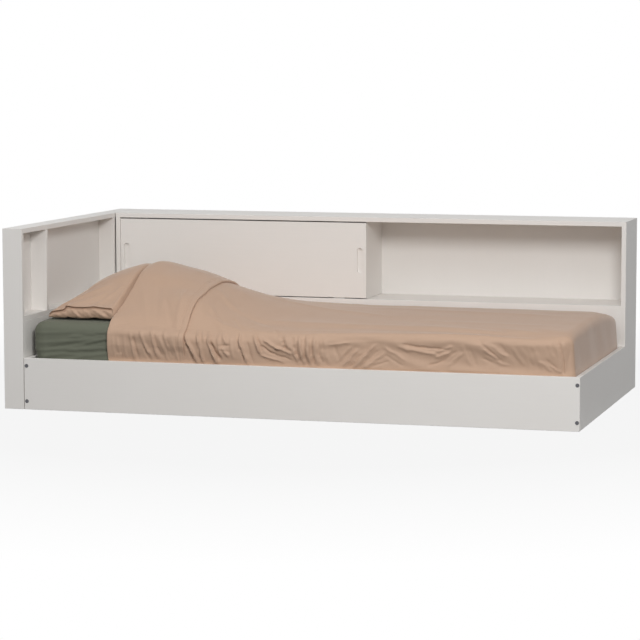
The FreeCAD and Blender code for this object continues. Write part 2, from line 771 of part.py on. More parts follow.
def pillow_form(grow):
    """The pillow in its case: what its three outlines have in common.

    From the side it is plump towards the head end, from the foot it is full in the middle and
    flat at its open end, which faces the front, and from above its seams are drawn in.
    """
    x_left = x_mattress + pillow_from_head - grow
    x_right = x_mattress + pillow_from_head + pillow_reach + grow
    y_near = y_mattress + pillow_front - grow
    y_far = y_mattress + pillow_front + pillow_width + grow
    z_base = z_bed_surface + cloth_play - grow
    z_top = z_bed_surface + cloth_play + pillow_rise + grow
    z_seam = z_bed_surface + cloth_play + pillow_seam
    z_open = z_bed_surface + cloth_play + pillow_open_height + grow

    low_left = V(x_left + pillow_seam, y_near - grow, z_base)
    low_right = V(x_right - pillow_seam, y_near - grow, z_base)
    over = [V(x_left + (x_right - x_left) * across, y_near - grow, z_seam + (z_top - z_seam) * up)
            for across, up in pillow_side_view]
    side_view = arcs_through(over) + Part.makePolygon([over[-1], low_right, low_left, over[0]]).Edges

    low_near = V(x_left - grow, y_near, z_base)
    low_far = V(x_left - grow, y_far, z_base)
    along = [V(x_left - grow, y_near, z_open)]
    along += [V(x_left - grow, y_near + (y_far - y_near) * share, z_seam + (z_top - z_seam) * up)
              for share, up in pillow_end_view]
    end_view = arcs_through(along) + Part.makePolygon([along[-1], low_far, low_near, along[0]]).Edges

    def plan(x, y):
        return V(x, y, z_base)

    x_mid = (x_left + x_right) / 2
    y_mid = (y_near + y_far) / 2
    drawn = pillow_draw
    corner = pillow_draw / 2
    top_view = [
        Part.Arc(plan(x_left + corner, y_near), plan(x_mid, y_near + corner),
                 plan(x_right - corner, y_near)).toShape(),
        Part.Arc(plan(x_right - corner, y_near), plan(x_right - drawn, y_mid),
                 plan(x_right - corner, y_far)).toShape(),
        Part.Arc(plan(x_right - corner, y_far), plan(x_mid, y_far - drawn),
                 plan(x_left + corner, y_far)).toShape(),
        Part.Arc(plan(x_left + corner, y_far), plan(x_left + drawn, y_mid),
                 plan(x_left + corner, y_near)).toShape(),
    ]
    form = prism(side_view, ALONG_Y, y_far - y_near + 2 * grow)
    form = form.common(prism(end_view, ALONG_X, x_right - x_left + 2 * grow))
    return form.common(prism(top_view, UP, pillow_rise + 2 * grow + cloth_play))


def duvet_section(x, rise, side_rise, reach, front_draw, gather):
    """One cut across the duvet: up from the tuck, over the bed and down the far side.

    rise and side_rise are heights over the bed's surface, in the middle and one reach in
    from each side.
    """
    near = y_inside + cloth_play + front_draw
    far = y_inside_end - cloth_play
    mid = (near + far) / 2
    bottom = bed_height - duvet_tuck
    crest = z_bed_surface + rise
    side = z_bed_surface + side_rise
    bend = min(z_mattress_edge, side - duvet_shoulder)
    steepness = min(1.0, max(0.0, side_rise / (pillow_rise * steep_from_share)))
    share_in, share_up = [level + (steep - level) * steepness
                          for level, steep in zip(shoulder_arc_level, shoulder_arc_steep)]
    arc_in = reach * share_in
    arc_up = bend + (side - bend) * share_up

    def at(y, z):
        return V(x, y, z)

    edges = [
        Part.LineSegment(at(near, bottom), at(near, bed_height)).toShape(),
        Part.LineSegment(at(near, bed_height), at(near - gather, bend)).toShape(),
        Part.Arc(at(near - gather, bend), at(near + arc_in, arc_up), at(near + reach, side)).toShape(),
        Part.Arc(at(near + reach, side), at(mid, crest), at(far - reach, side)).toShape(),
        Part.Arc(at(far - reach, side), at(far - arc_in, arc_up), at(far, bend)).toShape(),
        Part.LineSegment(at(far, bend), at(far, bottom)).toShape(),
        Part.LineSegment(at(far, bottom), at(near, bottom)).toShape(),
    ]
    return Part.Wire(edges)


def between(stations, x):
    """The values of a list of stations at x, read off in straight lines."""
    for near, far in zip(stations, stations[1:]):
        if near[0] <= x <= far[0]:
            share = (x - near[0]) / (far[0] - near[0])
            return [a + (b - a) * share for a, b in zip(near[1:], far[1:])]


def duvet_form():
    """The duvet: folded back over the pillow, a step at its hem, gathered along the front."""
    x_fold = x_mattress + duvet_fold_from_head
    x_hem = x_fold + duvet_fold_back
    shoulder = duvet_shoulder - mattress_crown
    # place, rise in the middle, rise at the sides, reach of the sides, draw-in at the front
    stations = [(x_fold + place, pillow_rise + middle, side, duvet_hump_reach, draw)
                for place, middle, side, draw in cuts_over_pillow]
    _, hem_middle, hem_side, hem_reach, _ = stations[-1]
    stations.append((x_hem + hem_step, hem_middle - duvet_layer, hem_side - duvet_layer, hem_reach, hem_draw))
    stations += [(x_hem + place, middle, side, reach, cuts_down_draw)
                 for place, middle, side, reach in cuts_down_pillow]
    stations.append((x_hem + level_from_hem, duvet_rise, shoulder, duvet_shoulder_reach, cuts_at_foot[0][3]))
    stations += [(x_inside_end - place, duvet_rise - middle, shoulder - side, duvet_shoulder_reach, draw)
                 for place, middle, side, draw in cuts_at_foot]
    places = {station[0]: (station[1:], 0.0) for station in stations}
    for number in range(gather_count):
        x = x_fold + gather_start + gather_pitch * number
        depth = gather_depth if number % 2 else gather_depth - gather_depth * gather_between
        places[x] = (between(stations, x), depth)
    wires = [duvet_section(x, *places[x][0], places[x][1]) for x in sorted(places)]
    duvet = Part.makeLoft(wires, True, True)
    duvet = duvet.cut(mattress_form(2 * cloth_play + sheet_thickness, z_mattress - duvet_tuck))
    return duvet.cut(pillow_form(cloth_play))


def bedding():
    mattress = mattress_form(0.0, z_mattress)
    save("mattress", mattress)
    sheet = mattress_form(cloth_play + sheet_thickness, z_mattress)
    save("fitted_sheet", sheet.cut(mattress_form(cloth_play, z_mattress)))
    save("pillow", pillow_form(0.0))
    save("duvet", duvet_form())


head_case()
side_case()
sliding_door()
bed_box()
make_links()
bedding()
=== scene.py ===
# %% [markdown]
# # A made-up corner bed
# The bed stands in a corner of shelf cases: a shallow one at the head and a deep one, with a
# sliding door, along the back. The boards, joints and fittings come as a finished frame in
# metres, so this lesson only gives them their paint, wood and metal. It then makes what a
# joiner doesn't: the mattress, its sheet, the pillow and the duvet.

# %% Load the frame
import math

import bpy
import numpy as np
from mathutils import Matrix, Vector, noise


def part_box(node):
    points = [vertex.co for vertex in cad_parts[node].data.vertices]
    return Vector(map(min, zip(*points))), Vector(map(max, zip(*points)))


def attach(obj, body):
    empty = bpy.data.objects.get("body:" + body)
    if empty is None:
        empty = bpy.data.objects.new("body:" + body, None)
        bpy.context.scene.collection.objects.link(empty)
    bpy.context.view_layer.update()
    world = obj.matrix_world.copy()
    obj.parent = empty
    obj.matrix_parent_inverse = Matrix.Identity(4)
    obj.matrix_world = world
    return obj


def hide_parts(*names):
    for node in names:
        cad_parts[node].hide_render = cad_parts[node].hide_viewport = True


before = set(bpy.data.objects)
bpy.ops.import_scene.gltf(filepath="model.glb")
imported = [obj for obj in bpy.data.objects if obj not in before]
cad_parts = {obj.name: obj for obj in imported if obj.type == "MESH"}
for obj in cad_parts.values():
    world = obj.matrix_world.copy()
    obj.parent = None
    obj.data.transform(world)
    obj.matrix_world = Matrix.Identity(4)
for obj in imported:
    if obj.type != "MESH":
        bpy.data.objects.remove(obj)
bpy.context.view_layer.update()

# %% [markdown]
# ## The camera
# A long lens far away keeps the bed's lines nearly parallel. Place, tilt, turn and focal length
# were worked out from the corners of the boards, whose real sizes are known. The same numbers
# also work backwards: they turn a pixel of the photograph into a point on an upright plane,
# which is how folds are put where the picture has them.

# %% Camera
PICTURE_SIDE = 640
SENSOR = 36.0
FOCAL_IN_PIXELS = 2495.33
CENTRE_COLUMN = 355.38
CENTRE_ROW = 320.0
CAMERA_PLACE = Vector((2.58442, -8.97936, 1.29667))
CAMERA_TILT_DOWN = 0.1069
CAMERA_TURN = 0.2699

lens = bpy.data.cameras.new("camera")
camera = bpy.data.objects.new("camera", lens)
bpy.context.scene.collection.objects.link(camera)
lens.sensor_width = SENSOR
lens.lens = FOCAL_IN_PIXELS / PICTURE_SIDE * SENSOR
lens.shift_x = (PICTURE_SIDE / 2 - CENTRE_COLUMN) / PICTURE_SIDE
lens.clip_end = 100.0
camera.location = CAMERA_PLACE
camera.rotation_euler = (math.pi / 2 - CAMERA_TILT_DOWN, 0.0, CAMERA_TURN)
bpy.context.scene.camera = camera
bpy.context.view_layer.update()
camera_turn = camera.rotation_euler.to_matrix()


def seen_at(column, row, y):
    """The point on the upright plane at y that shows at this pixel of the photograph."""
    across = (column - CENTRE_COLUMN) / FOCAL_IN_PIXELS
    up = (CENTRE_ROW - row) / FOCAL_IN_PIXELS
    ray = camera_turn @ Vector((across, up, -1.0))
    return CAMERA_PLACE + ray * ((y - CAMERA_PLACE.y) / ray.y)


print("lens", round(lens.lens, 2), "mm")

# %% [markdown]
# ## Shader maths as sums
# A finish is a small sum: a base colour, a little noise, a weave. Writing `1 - mask * 0.3` is
# easier to read than six nodes joined by hand. `Wire` wraps an output of a node, and Python's
# signs add the Math nodes. `Finish` makes a material, adds any other node by one method, and
# feeds the shader.

# %% Wires and finishes
class Wire:
    """One number that changes over a surface, with the signs of arithmetic."""

    def __init__(self, tree, socket):
        self.tree = tree
        self.socket = socket

    def sum_up(self, operation, first, second=0.0):
        node = self.tree.nodes.new("ShaderNodeMath")
        node.operation = operation
        join(self.tree, first, node.inputs[0])
        join(self.tree, second, node.inputs[1])
        return Wire(self.tree, node.outputs[0])

    def __add__(self, other):
        return self.sum_up("ADD", self, other)

    def __radd__(self, other):
        return self.sum_up("ADD", other, self)

    def __sub__(self, other):
        return self.sum_up("SUBTRACT", self, other)

    def __rsub__(self, other):
        return self.sum_up("SUBTRACT", other, self)

    def __mul__(self, other):
        return self.sum_up("MULTIPLY", self, other)

    def __rmul__(self, other):
        return self.sum_up("MULTIPLY", other, self)

    def __truediv__(self, other):
        return self.sum_up("DIVIDE", self, other)

    def __rtruediv__(self, other):
        return self.sum_up("DIVIDE", other, self)

    def __pow__(self, other):
        return self.sum_up("POWER", self, other)

    def sine(self):
        return self.sum_up("SINE", self)


def join(tree, value, socket):
    """Sets a socket to a number or colour, or links a wire to it."""
    if isinstance(value, Wire):
        tree.links.new(value.socket, socket)
    else:
        socket.default_value = value


class Finish:
    """A material with one principled shader."""

    def __init__(self, name, **constants):
        self.material = bpy.data.materials.new(name)
        self.material.use_nodes = True
        self.tree = self.material.node_tree
        self.shader = self.tree.nodes["Principled BSDF"]
        for socket, value in constants.items():
            self.shader.inputs[socket.replace("_", " ")].default_value = value

    def node(self, kind, settings=None, output=0, **sockets):
        """Adds a node: its settings first, then its sockets, by name or by i and a number."""
        made = self.tree.nodes.new(kind)
        for setting, value in (settings or {}).items():
            if setting == "stops":
                ramp = made.color_ramp.elements
                while len(ramp) < len(value):
                    ramp.new(0.5)
                for element, (place, colour) in zip(ramp, value):
                    element.position = place
                    element.color = (*colour, 1.0)
            else:
                setattr(made, setting, value)
        for name, value in sockets.items():
            by_number = name[1:].isdigit()
            join(self.tree, value, made.inputs[int(name[1:]) if by_number else name.replace("_", " ")])
        return Wire(self.tree, made.outputs[output])

    def place(self):
        """The point on the piece in metres, at rest."""
        return self.node("ShaderNodeTexCoord", output=3)

    def scaled(self, x, y, z):
        """The point with each axis stretched by its own number."""
        return self.node("ShaderNodeVectorMath", {"operation": "MULTIPLY"}, i0=self.place(), i1=(x, y, z))

    def axis(self, number):
        return self.node("ShaderNodeSeparateXYZ", output=number, i0=self.place())

    def cloud(self, vector, size, detail=2.0, rough=0.5):
        """Soft noise from 0 to 1, whose blotches are about one size across, in metres."""
        return self.node("ShaderNodeTexNoise", Vector=vector, Scale=1.0 / size, Detail=detail,
                         Roughness=rough)

    def blend(self, share, first, second):
        """A colour between two, by a share from 0 to 1."""
        return self.node("ShaderNodeMix", {"data_type": "RGBA"}, output=2, i0=share, i6=first, i7=second)

    def bump(self, height, depth, strength=1.0):
        """Turns a height from 0 to 1 into a normal, for a relief of depth metres."""
        return self.node("ShaderNodeBump", Strength=strength, Distance=depth, Height=height)

    def feed(self, **wires):
        for socket, wire in wires.items():
            join(self.tree, wire, self.shader.inputs[socket.replace("_", " ")])
        return self.material


def tint(red, green, blue):
    return (red, green, blue, 1.0)


print("shader helpers ready")

# %% [markdown]
# ## Studio
# A product is photographed on a white sweep with soft lamps. Here one is high in front and to
# the right, and gives the boards their shading. A broader and weaker one hangs over the front
# of the bed and fills the shadows, and the white sky does the rest. A pale disc is the floor.
# Near the bed it keeps a soft shadow, and further out it fades to plain white, so that no edge
# shows. The white that the camera sees isn't light: only camera, glossy and glass rays get it.

# %% Floor
FLOOR_RADIUS = 30.0
FLOOR_SIDES = 64
FLOOR_GREY = 0.11
FLOOR_FADE_FROM = 1.6
FLOOR_FADE_OVER = 1.5
FLOOR_SHOWN_WHITE = 0.90


def seen_rays(finish):
    """1 for rays that show a picture, and 0 for rays that only carry light."""
    camera_ray = finish.node("ShaderNodeLightPath", output=0)
    glossy_ray = finish.node("ShaderNodeLightPath", output=3)
    glass_ray = finish.node("ShaderNodeLightPath", output=6)
    return camera_ray + glossy_ray + glass_ray


def make_floor():
    points = [(0.0, 0.0, 0.0)]
    for number in range(FLOOR_SIDES):
        angle = 2 * math.pi * number / FLOOR_SIDES
        points.append((FLOOR_RADIUS * math.cos(angle), FLOOR_RADIUS * math.sin(angle), 0.0))
    faces = [(0, 1 + number, 1 + (number + 1) % FLOOR_SIDES) for number in range(FLOOR_SIDES)]
    mesh = bpy.data.meshes.new("floor")
    mesh.from_pydata(points, [], faces)
    floor = bpy.data.objects.new("floor", mesh)
    bpy.context.scene.collection.objects.link(floor)
    grey = tint(FLOOR_GREY, FLOOR_GREY, FLOOR_GREY)
    finish = Finish("studio_floor", Base_Color=grey, Roughness=0.9)
    distance = finish.node("ShaderNodeVectorMath", {"operation": "LENGTH"}, output=1, i0=finish.place())
    away = finish.node("ShaderNodeMapRange", i0=distance, i1=FLOOR_FADE_FROM,
                       i2=FLOOR_FADE_FROM + FLOOR_FADE_OVER, i3=FLOOR_SHOWN_WHITE, i4=1.0)
    share = finish.node("ShaderNodeMath", {"operation": "MINIMUM"}, i0=seen_rays(finish), i1=1.0) * away
    white = finish.node("ShaderNodeEmission", Color=tint(1, 1, 1), Strength=1.0)
    body = Wire(finish.tree, finish.shader.outputs[0])
    mixed = finish.node("ShaderNodeMixShader", i0=share, i1=body, i2=white)
    output = finish.tree.nodes["Material Output"]
    join(finish.tree, mixed, output.inputs[0])
    mesh.materials.append(finish.material)
    return floor


make_floor()
print("floor of", FLOOR_RADIUS, "m, plain white from", FLOOR_FADE_FROM + FLOOR_FADE_OVER, "m on")

# %% World and lamps
SKY_LIGHT = 0.33
LAMP_PLACE = Vector((2.25, -5.1, 2.85))
LAMP_SIDE = 1.4
LAMP_WATTS = 158.0
LAMP_AIM = Vector((0.1, 0.0, 0.35))
FILL_PLACE = Vector((-0.9, -2.9, 4.3))
FILL_SIDE = 3.0
FILL_WATTS = 52.0


def hang_lamp(name, place, side, watts):
    """A square soft lamp that points at the bed."""
    lamp = bpy.data.lights.new(name, "AREA")
    lamp.size = side
    lamp.energy = watts
    stand = bpy.data.objects.new(name, lamp)
    stand.location = place
    stand.rotation_euler = (LAMP_AIM - place).to_track_quat("-Z", "Y").to_euler()
    bpy.context.scene.collection.objects.link(stand)


def light_the_set():
    world = bpy.data.worlds.new("studio")
    bpy.context.scene.world = world
    world.use_nodes = True
    tree = world.node_tree
    background = tree.nodes["Background"]
    background.inputs["Color"].default_value = tint(1, 1, 1)
    paths = tree.nodes.new("ShaderNodeLightPath")
    shown = Wire(tree, paths.outputs["Is Camera Ray"]) + Wire(tree, paths.outputs["Is Glossy Ray"])
    shown = shown + Wire(tree, paths.outputs["Is Transmission Ray"])
    strength = shown * (1.0 - SKY_LIGHT) + SKY_LIGHT
    join(tree, strength.sum_up("MINIMUM", strength, 1.0), background.inputs["Strength"])
    hang_lamp("soft_lamp", LAMP_PLACE, LAMP_SIDE, LAMP_WATTS)
    hang_lamp("broad_fill", FILL_PLACE, FILL_SIDE, FILL_WATTS)


bpy.context.scene.view_settings.view_transform = "Standard"
light_the_set()
print("studio lit by lamps of", LAMP_WATTS, "and", FILL_WATTS, "watts and a white sky")

# %% [markdown]
# ## Painted boards
# The boards are brushed with a satin off-white paint. Close up, such a coat has fine streaks
# along the board, faint clouds where it dried thicker, and small pits. The streaks are noise
# that is stretched along the grain, so there is one finish for each direction that a board
# runs in. The relief is a few hundredths of a millimetre: enough to break up a reflection.

# %% Paint
PAINT = (0.850, 0.826, 0.800)
STREAK_WIDTH = 0.0022
STREAK_STRETCH = 60.0


def board_paint(name, along, colour=PAINT):
    """Brushed paint with its streaks along one axis."""
    finish = Finish(name, Specular_IOR_Level=0.34)
    stretch = [1.0, 1.0, 1.0]
    stretch[along] = 1.0 / STREAK_STRETCH
    streaks = finish.cloud(finish.scaled(*stretch), STREAK_WIDTH, detail=3.0, rough=0.6)
    clouds = finish.cloud(finish.place(), 0.22, detail=3.0)
    pits = finish.cloud(finish.place(), 0.0012, detail=1.0)
    pale = tint(*[min(1.0, part * 1.025) for part in colour])
    deep = tint(colour[0] * 0.965, colour[1] * 0.958, colour[2] * 0.945)
    share = clouds * 0.55 + streaks * 0.45
    height = streaks * 0.7 + pits * 0.3
    return finish.feed(Base_Color=finish.blend(share, deep, pale), Roughness=0.36 + streaks * 0.16,
                       Normal=finish.bump(height, 0.00012))


paints = [board_paint("paint_along_" + letter, number) for number, letter in enumerate("xyz")]
print("paints", [paint.name for paint in paints])

# %% [markdown]
# ## Bare wood, metal, plastic and tapes
# Slats and ledges are planed pine: growth rings show as long bands with fibres along the
# board. The bands are a wave bent by noise. Dowels are beech with small flecks. Cams and screws
# are zinc-plated, with a cloudy, slightly scratched shine. The bolts that show have that shine on
# a dark colour, which is painted shade: it darkens the whole head to stand in for the shadow in
# the recess round it. Runners are white nylon with the dull grain of a mould.

# %% Wood and metal
def planed_wood(name, along, pale, deep, ring_width):
    finish = Finish(name, Specular_IOR_Level=0.3)
    stretch = [1.0, 1.0, 1.0]
    stretch[along] = 0.06
    wander = finish.cloud(finish.scaled(*stretch), 0.05, detail=3.0)
    across = finish.axis(1 if along == 0 else 0) + finish.axis(2) * 0.6
    rings = ((across / ring_width + wander * 5.0) * (2 * math.pi)).sine() * 0.5 + 0.5
    fibres = finish.cloud(finish.scaled(*stretch), 0.0009, detail=2.0)
    share = rings ** 2.2 * 0.7 + fibres * 0.3
    return finish.feed(Base_Color=finish.blend(share, tint(*pale), tint(*deep)),
                       Roughness=0.55 + fibres * 0.2, Normal=finish.bump(fibres, 0.00015))


def plated_metal(name, colour, rough):
    finish = Finish(name, Metallic=1.0)
    clouds = finish.cloud(finish.place(), 0.004, detail=4.0)
    scratches = finish.cloud(finish.scaled(1.0, 9.0, 1.0), 0.0009, detail=2.0)
    dark = tint(*[part * 0.72 for part in colour])
    return finish.feed(Base_Color=finish.blend(clouds, dark, tint(*colour)),
                       Roughness=rough + scratches * 0.22, Normal=finish.bump(scratches, 0.00004))


pine_slats = planed_wood("pine_slats", 1, (0.74, 0.57, 0.37), (0.62, 0.43, 0.24), 0.011)
pine_ledges = planed_wood("pine_ledges", 0, (0.72, 0.55, 0.36), (0.60, 0.42, 0.24), 0.009)
beech = planed_wood("beech_dowels", 0, (0.66, 0.47, 0.31), (0.58, 0.40, 0.26), 0.004)
zinc = plated_metal("zinc_plate", (0.56, 0.56, 0.57), 0.32)
# the bolts' dark colour is painted shade, standing in for the shadow in the recess round each head
bolt_steel_painted_shade = plated_metal("bolt_steel_painted_shade", (0.16, 0.16, 0.17), 0.38)
print("wood and metal ready")

# %% Plastic, felt and webbing
def moulded_plastic(name, colour, rough):
    finish = Finish(name)
    grain = finish.cloud(finish.place(), 0.0008, detail=2.0)
    clouds = finish.cloud(finish.place(), 0.03)
    dark = tint(*[part * 0.94 for part in colour])
    return finish.feed(Base_Color=finish.blend(clouds, dark, tint(*colour)), Roughness=rough + grain * 0.12,
                       Normal=finish.bump(grain, 0.00005))


def woven_tape(name, colour, pitch):
    finish = Finish(name, Sheen_Weight=0.2, Roughness=0.85)
    turn = 2 * math.pi / pitch
    threads = (finish.axis(0) * turn).sine() * (finish.axis(1) * turn).sine() * 0.5 + 0.5
    fuzz = finish.cloud(finish.place(), 0.0015, detail=3.0)
    dark = tint(*[part * 0.8 for part in colour])
    return finish.feed(Base_Color=finish.blend(threads * 0.6 + fuzz * 0.4, dark, tint(*colour)),
                       Normal=finish.bump(threads, 0.0004))


nylon = moulded_plastic("nylon", (0.72, 0.72, 0.70), 0.42)
track_plastic = moulded_plastic("white_track", (0.78, 0.77, 0.75), 0.38)
felt = woven_tape("felt_washer", (0.26, 0.26, 0.26), 0.002)
webbing = woven_tape("slat_webbing", (0.74, 0.71, 0.65), 0.0018)
hardboard = board_paint("back_lacquer", 2, (0.830, 0.806, 0.780))
print("plastic, felt and webbing ready")

# %% [markdown]
# ## Which board gets which finish
# A painter brushes along a board. A node's own box tells which way it runs, so the paint's
# streaks follow its longest side. The few nodes that aren't painted boards are named in a table
# or known by the last word of their name.

# %% Dress the frame
NODE_FINISHES = {
    # bolts get the steel whose dark colour is painted shade
    "bed_bolts": bolt_steel_painted_shade,
    "slat_tapes": webbing, "case_link_spacers": felt,
    "door_bottom_track": track_plastic, "door_top_track": track_plastic,
    "door_bottom_glides": nylon, "door_top_guides": nylon,
    "head_case_back": hardboard, "side_case_back": hardboard,
    "slat_ledge_front": pine_ledges, "slat_ledge_back": pine_ledges,
}
METAL_WORDS = ("bolts", "nuts", "screws", "cams")


def finish_for(name):
    if name in NODE_FINISHES:
        return NODE_FINISHES[name]
    if name.startswith("slat_") and name[5:].isdigit():
        return pine_slats
    if name.endswith("dowels"):
        return beech
    if name.split("_")[-1] in METAL_WORDS:
        return zinc
    low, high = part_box(name)
    sides = high - low
    return paints[list(sides).index(max(sides))]


for name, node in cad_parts.items():
    node.data.materials.clear()
    node.data.materials.append(finish_for(name))
print("dressed", len(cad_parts), "nodes")

# %% [markdown]
# ## Cloth
# The sheet is a fine green jersey, the pillowcase and duvet cover are tan cotton with a slight
# sheen, and the mattress has a pale knitted cover. From a few metres away the weave can't be
# seen, only a soft mottling and the way the surface catches light at its folds. The weave is
# still there for a close look: two crossed waves of thread, under a millimetre apart.

# %% Cloth finishes
def cloth(name, colour, thread, rough, sheen, mottle=0.05, weave_depth=0.00010):
    finish = Finish(name, Sheen_Weight=sheen, Sheen_Roughness=0.3, Specular_IOR_Level=0.22)
    turn = 2 * math.pi / thread
    warp = (finish.axis(0) * turn).sine()
    weft = ((finish.axis(1) + finish.axis(2)) * turn).sine()
    weave = warp * weft * 0.5 + 0.5
    slubs = finish.cloud(finish.scaled(0.12, 1.0, 1.0), 0.0035, detail=3.0)
    clouds = finish.cloud(finish.place(), 0.09, detail=3.0)
    dark = tint(*[part * (1.0 - mottle) for part in colour])
    pale = tint(*[min(1.0, part * (1.0 + mottle)) for part in colour])
    share = clouds * 0.5 + slubs * 0.35 + weave * 0.15
    return finish.feed(Base_Color=finish.blend(share, dark, pale), Roughness=rough + slubs * 0.1,
                       Normal=finish.bump(weave * 0.5 + slubs * 0.5, weave_depth))


TAN = (0.565, 0.388, 0.280)
GREEN = (0.156, 0.165, 0.124)
tan_cotton = cloth("tan_cotton", TAN, 0.0007, 0.55, 0.38)
green_jersey = cloth("green_jersey", GREEN, 0.0009, 0.8, 0.15, mottle=0.07)
ticking = cloth("mattress_knit", (0.78, 0.76, 0.72), 0.0025, 0.8, 0.2, weave_depth=0.0004)
print("cloth finishes ready")

# %% [markdown]
# ## Tools for soft shapes
# Cloth that lies on a box can be worked out from a flat pattern. A point of the flat cloth that
# is still over the top stays there. One that is past the edge by some distance first follows
# the rounded edge and then hangs straight down. Near a corner the nearest point of the top is
# the corner itself, so the cloth fans round it.

# %% Lines, edges and limits
def through(stations, x):
    """A smooth line through stations of (place, value), without overshoot, at each x."""
    places = np.array([station[0] for station in stations], float)
    values = np.array([station[1] for station in stations], float)
    steps = np.diff(values) / np.diff(places)
    slopes = np.zeros(len(places))
    for number in range(1, len(places) - 1):
        before, after = steps[number - 1], steps[number]
        if before * after > 0:
            slopes[number] = 2 * before * after / (before + after)
    x = np.clip(x, places[0], places[-1])
    span = np.clip(np.searchsorted(places, x, side="right") - 1, 0, len(places) - 2)
    width = places[span + 1] - places[span]
    t = (x - places[span]) / width
    rise = values[span + 1] - values[span]
    return (values[span] + rise * (3 * t**2 - 2 * t**3)
            + width * slopes[span] * (t**3 - 2 * t**2 + t) + width * slopes[span + 1] * (t**3 - t**2))


def over_edge(past, flat, radius, lean):
    """How far out and down a point lies that is past the edge by that much cloth.

    The cloth runs flat, turns round a radius from a lean in radians to upright, and hangs.
    """
    arc = np.clip(past - flat, 0.0, radius * (math.pi / 2 - lean))
    rest = np.clip(past - flat - arc, 0.0, None)
    angle = lean + arc / radius
    level = np.minimum(past, flat)
    out = level * np.cos(lean) + radius * (np.sin(angle) - np.sin(lean))
    down = level * np.sin(lean) + radius * (np.cos(lean) - np.cos(angle)) + rest
    return out, down


def ramp(value, start, width):
    """0 before the start, 1 from start + width on, and a straight line between them."""
    return np.clip((value - start) / width, 0.0, 1.0)


def below(height, limit, softness=0.003):
    """The lower of two heights, with a soft change from one to the other."""
    return -np.logaddexp(-height / softness, -limit / softness) * softness


def steps_between(stops):
    """Places from the first stop to the last, at the step that each stretch asks for."""
    places = []
    for (start, step), (end, _) in zip(stops, stops[1:]):
        count = max(1, round((end - start) / step))
        places.extend(start + (end - start) * number / count for number in range(count))
    return np.array(places + [stops[-1][0]])


print("lines and edges ready")

# %% [markdown]
# ## Creases, nets and pieces
# A crease is a short soft ridge or valley. Its ends are two places in the photograph, which the
# camera's numbers turn into places on the upright side that it lies on, and its width and height
# are in millimetres. Finer unevenness is noise. A piece is a net of points, whose faces join
# each point to its neighbours.

# %% Creases and nets
MILLI = 0.001


def ridge(x, z, start, end, width):
    """1 along a straight fold from start to end, falling off to the sides and at the ends."""
    way = np.array(end) - np.array(start)
    length = float(np.hypot(*way))
    along = ((x - start[0]) * way[0] + (z - start[1]) * way[1]) / length
    aside = ((x - start[0]) * way[1] - (z - start[1]) * way[0]) / length
    fade = np.clip(np.minimum(along, length - along) / (0.3 * length) + 0.5, 0.0, 1.0)
    return np.exp(-(aside / width) ** 2) * fade * fade * (3 - 2 * fade)


def creases_at(creases, x, z, y):
    """The relief of a list of creases, given in pixels and millimetres, at points of a side."""
    relief = np.zeros_like(x)
    for column, row, column_end, row_end, width, height in creases:
        start = seen_at(column, row, y)
        end = seen_at(column_end, row_end, y)
        relief += ridge(x, z, (start.x, start.z), (end.x, end.z), width * MILLI) * height * MILLI
    return relief


def noise_over(net, size, seed, stretch=(1.0, 1.0, 1.0)):
    """Smooth noise from -1 to 1 at the points of a net, with blotches of one size."""
    shift = Vector((seed * 7.3, seed * 3.1, seed * 5.7))
    points = (net * np.array(stretch)).reshape(-1, 3)
    values = [noise.noise(Vector(point) / size + shift) for point in points]
    return np.array(values).reshape(net.shape[:-1])


def net_faces(rows, columns, closed=False):
    """Quads of a net of points, row after row. A closed net joins its last column to its first."""
    faces = []
    for row in range(rows - 1):
        for column in range(columns if closed else columns - 1):
            after = (column + 1) % columns
            faces.append((row * columns + column, row * columns + after,
                          (row + 1) * columns + after, (row + 1) * columns + column))
    return faces


def net_normals(net):
    """The direction that a net of points faces at each of them."""
    along = np.gradient(net, axis=0)
    across = np.gradient(net, axis=1)
    facing = np.cross(along, across)
    return facing / np.maximum(np.linalg.norm(facing, axis=2, keepdims=True), 1e-9)


def trimmed(points, faces):
    """Only the points that the faces use, and the faces with the numbers they then have."""
    used = sorted({number for face in faces for number in face})
    new_number = {old: new for new, old in enumerate(used)}
    return points[used], [tuple(new_number[number] for number in face) for face in faces]


def soft_piece(name, points, faces, finish, body="bed"):
    """A smooth piece with one finish, which rides on a body of the frame."""
    mesh = bpy.data.meshes.new(name)
    mesh.from_pydata([tuple(point) for point in points], [], faces)
    mesh.update()
    mesh.materials.append(finish)
    mesh.polygons.foreach_set("use_smooth", [True] * len(mesh.polygons))
    made = bpy.data.objects.new(name, mesh)
    bpy.context.scene.collection.objects.link(made)
    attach(made, body)
    return made


print("creases and nets ready")

# %% [markdown]
# ## The form of the bedding
# All bedding takes its shape from one table: how high the duvet lies over the sheet, along the
# bed and across it. The heights were read off the photograph, where the edge of the turned-back
# layer and its hem each draw a cut through the bed. The pillow, the sheet and the mattress stay
# below the same surface, as they are soft and the tucked duvet presses on them.

# %% Places and sizes of the bedding
sheet_low, sheet_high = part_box("fitted_sheet")
mattress_low, mattress_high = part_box("mattress")
duvet_low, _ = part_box("duvet")
bed_surface = sheet_high.z
CLEAR_OF_FOOT = 0.0006
CLEAR_OF_RAILS = 0.0004
foot_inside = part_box("foot_panel")[0].x - CLEAR_OF_FOOT
front_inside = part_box("front_rail")[1].y + CLEAR_OF_RAILS
back_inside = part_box("back_rail")[0].y - CLEAR_OF_RAILS
rail_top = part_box("front_rail")[1].z
duvet_middle = (front_inside + back_inside) / 2
duvet_half = (back_inside - front_inside) / 2
EDGE_RADIUS = 0.022
FOOT_RADIUS = 0.030
FOOT_LEAN = 0.012
LAYER = 0.009
TUCK_TO = duvet_low.z + 0.004
flat_half = duvet_half - EDGE_RADIUS
print("duvet over", round(2 * duvet_half, 3), "m of bed, down to", round(TUCK_TO, 3))

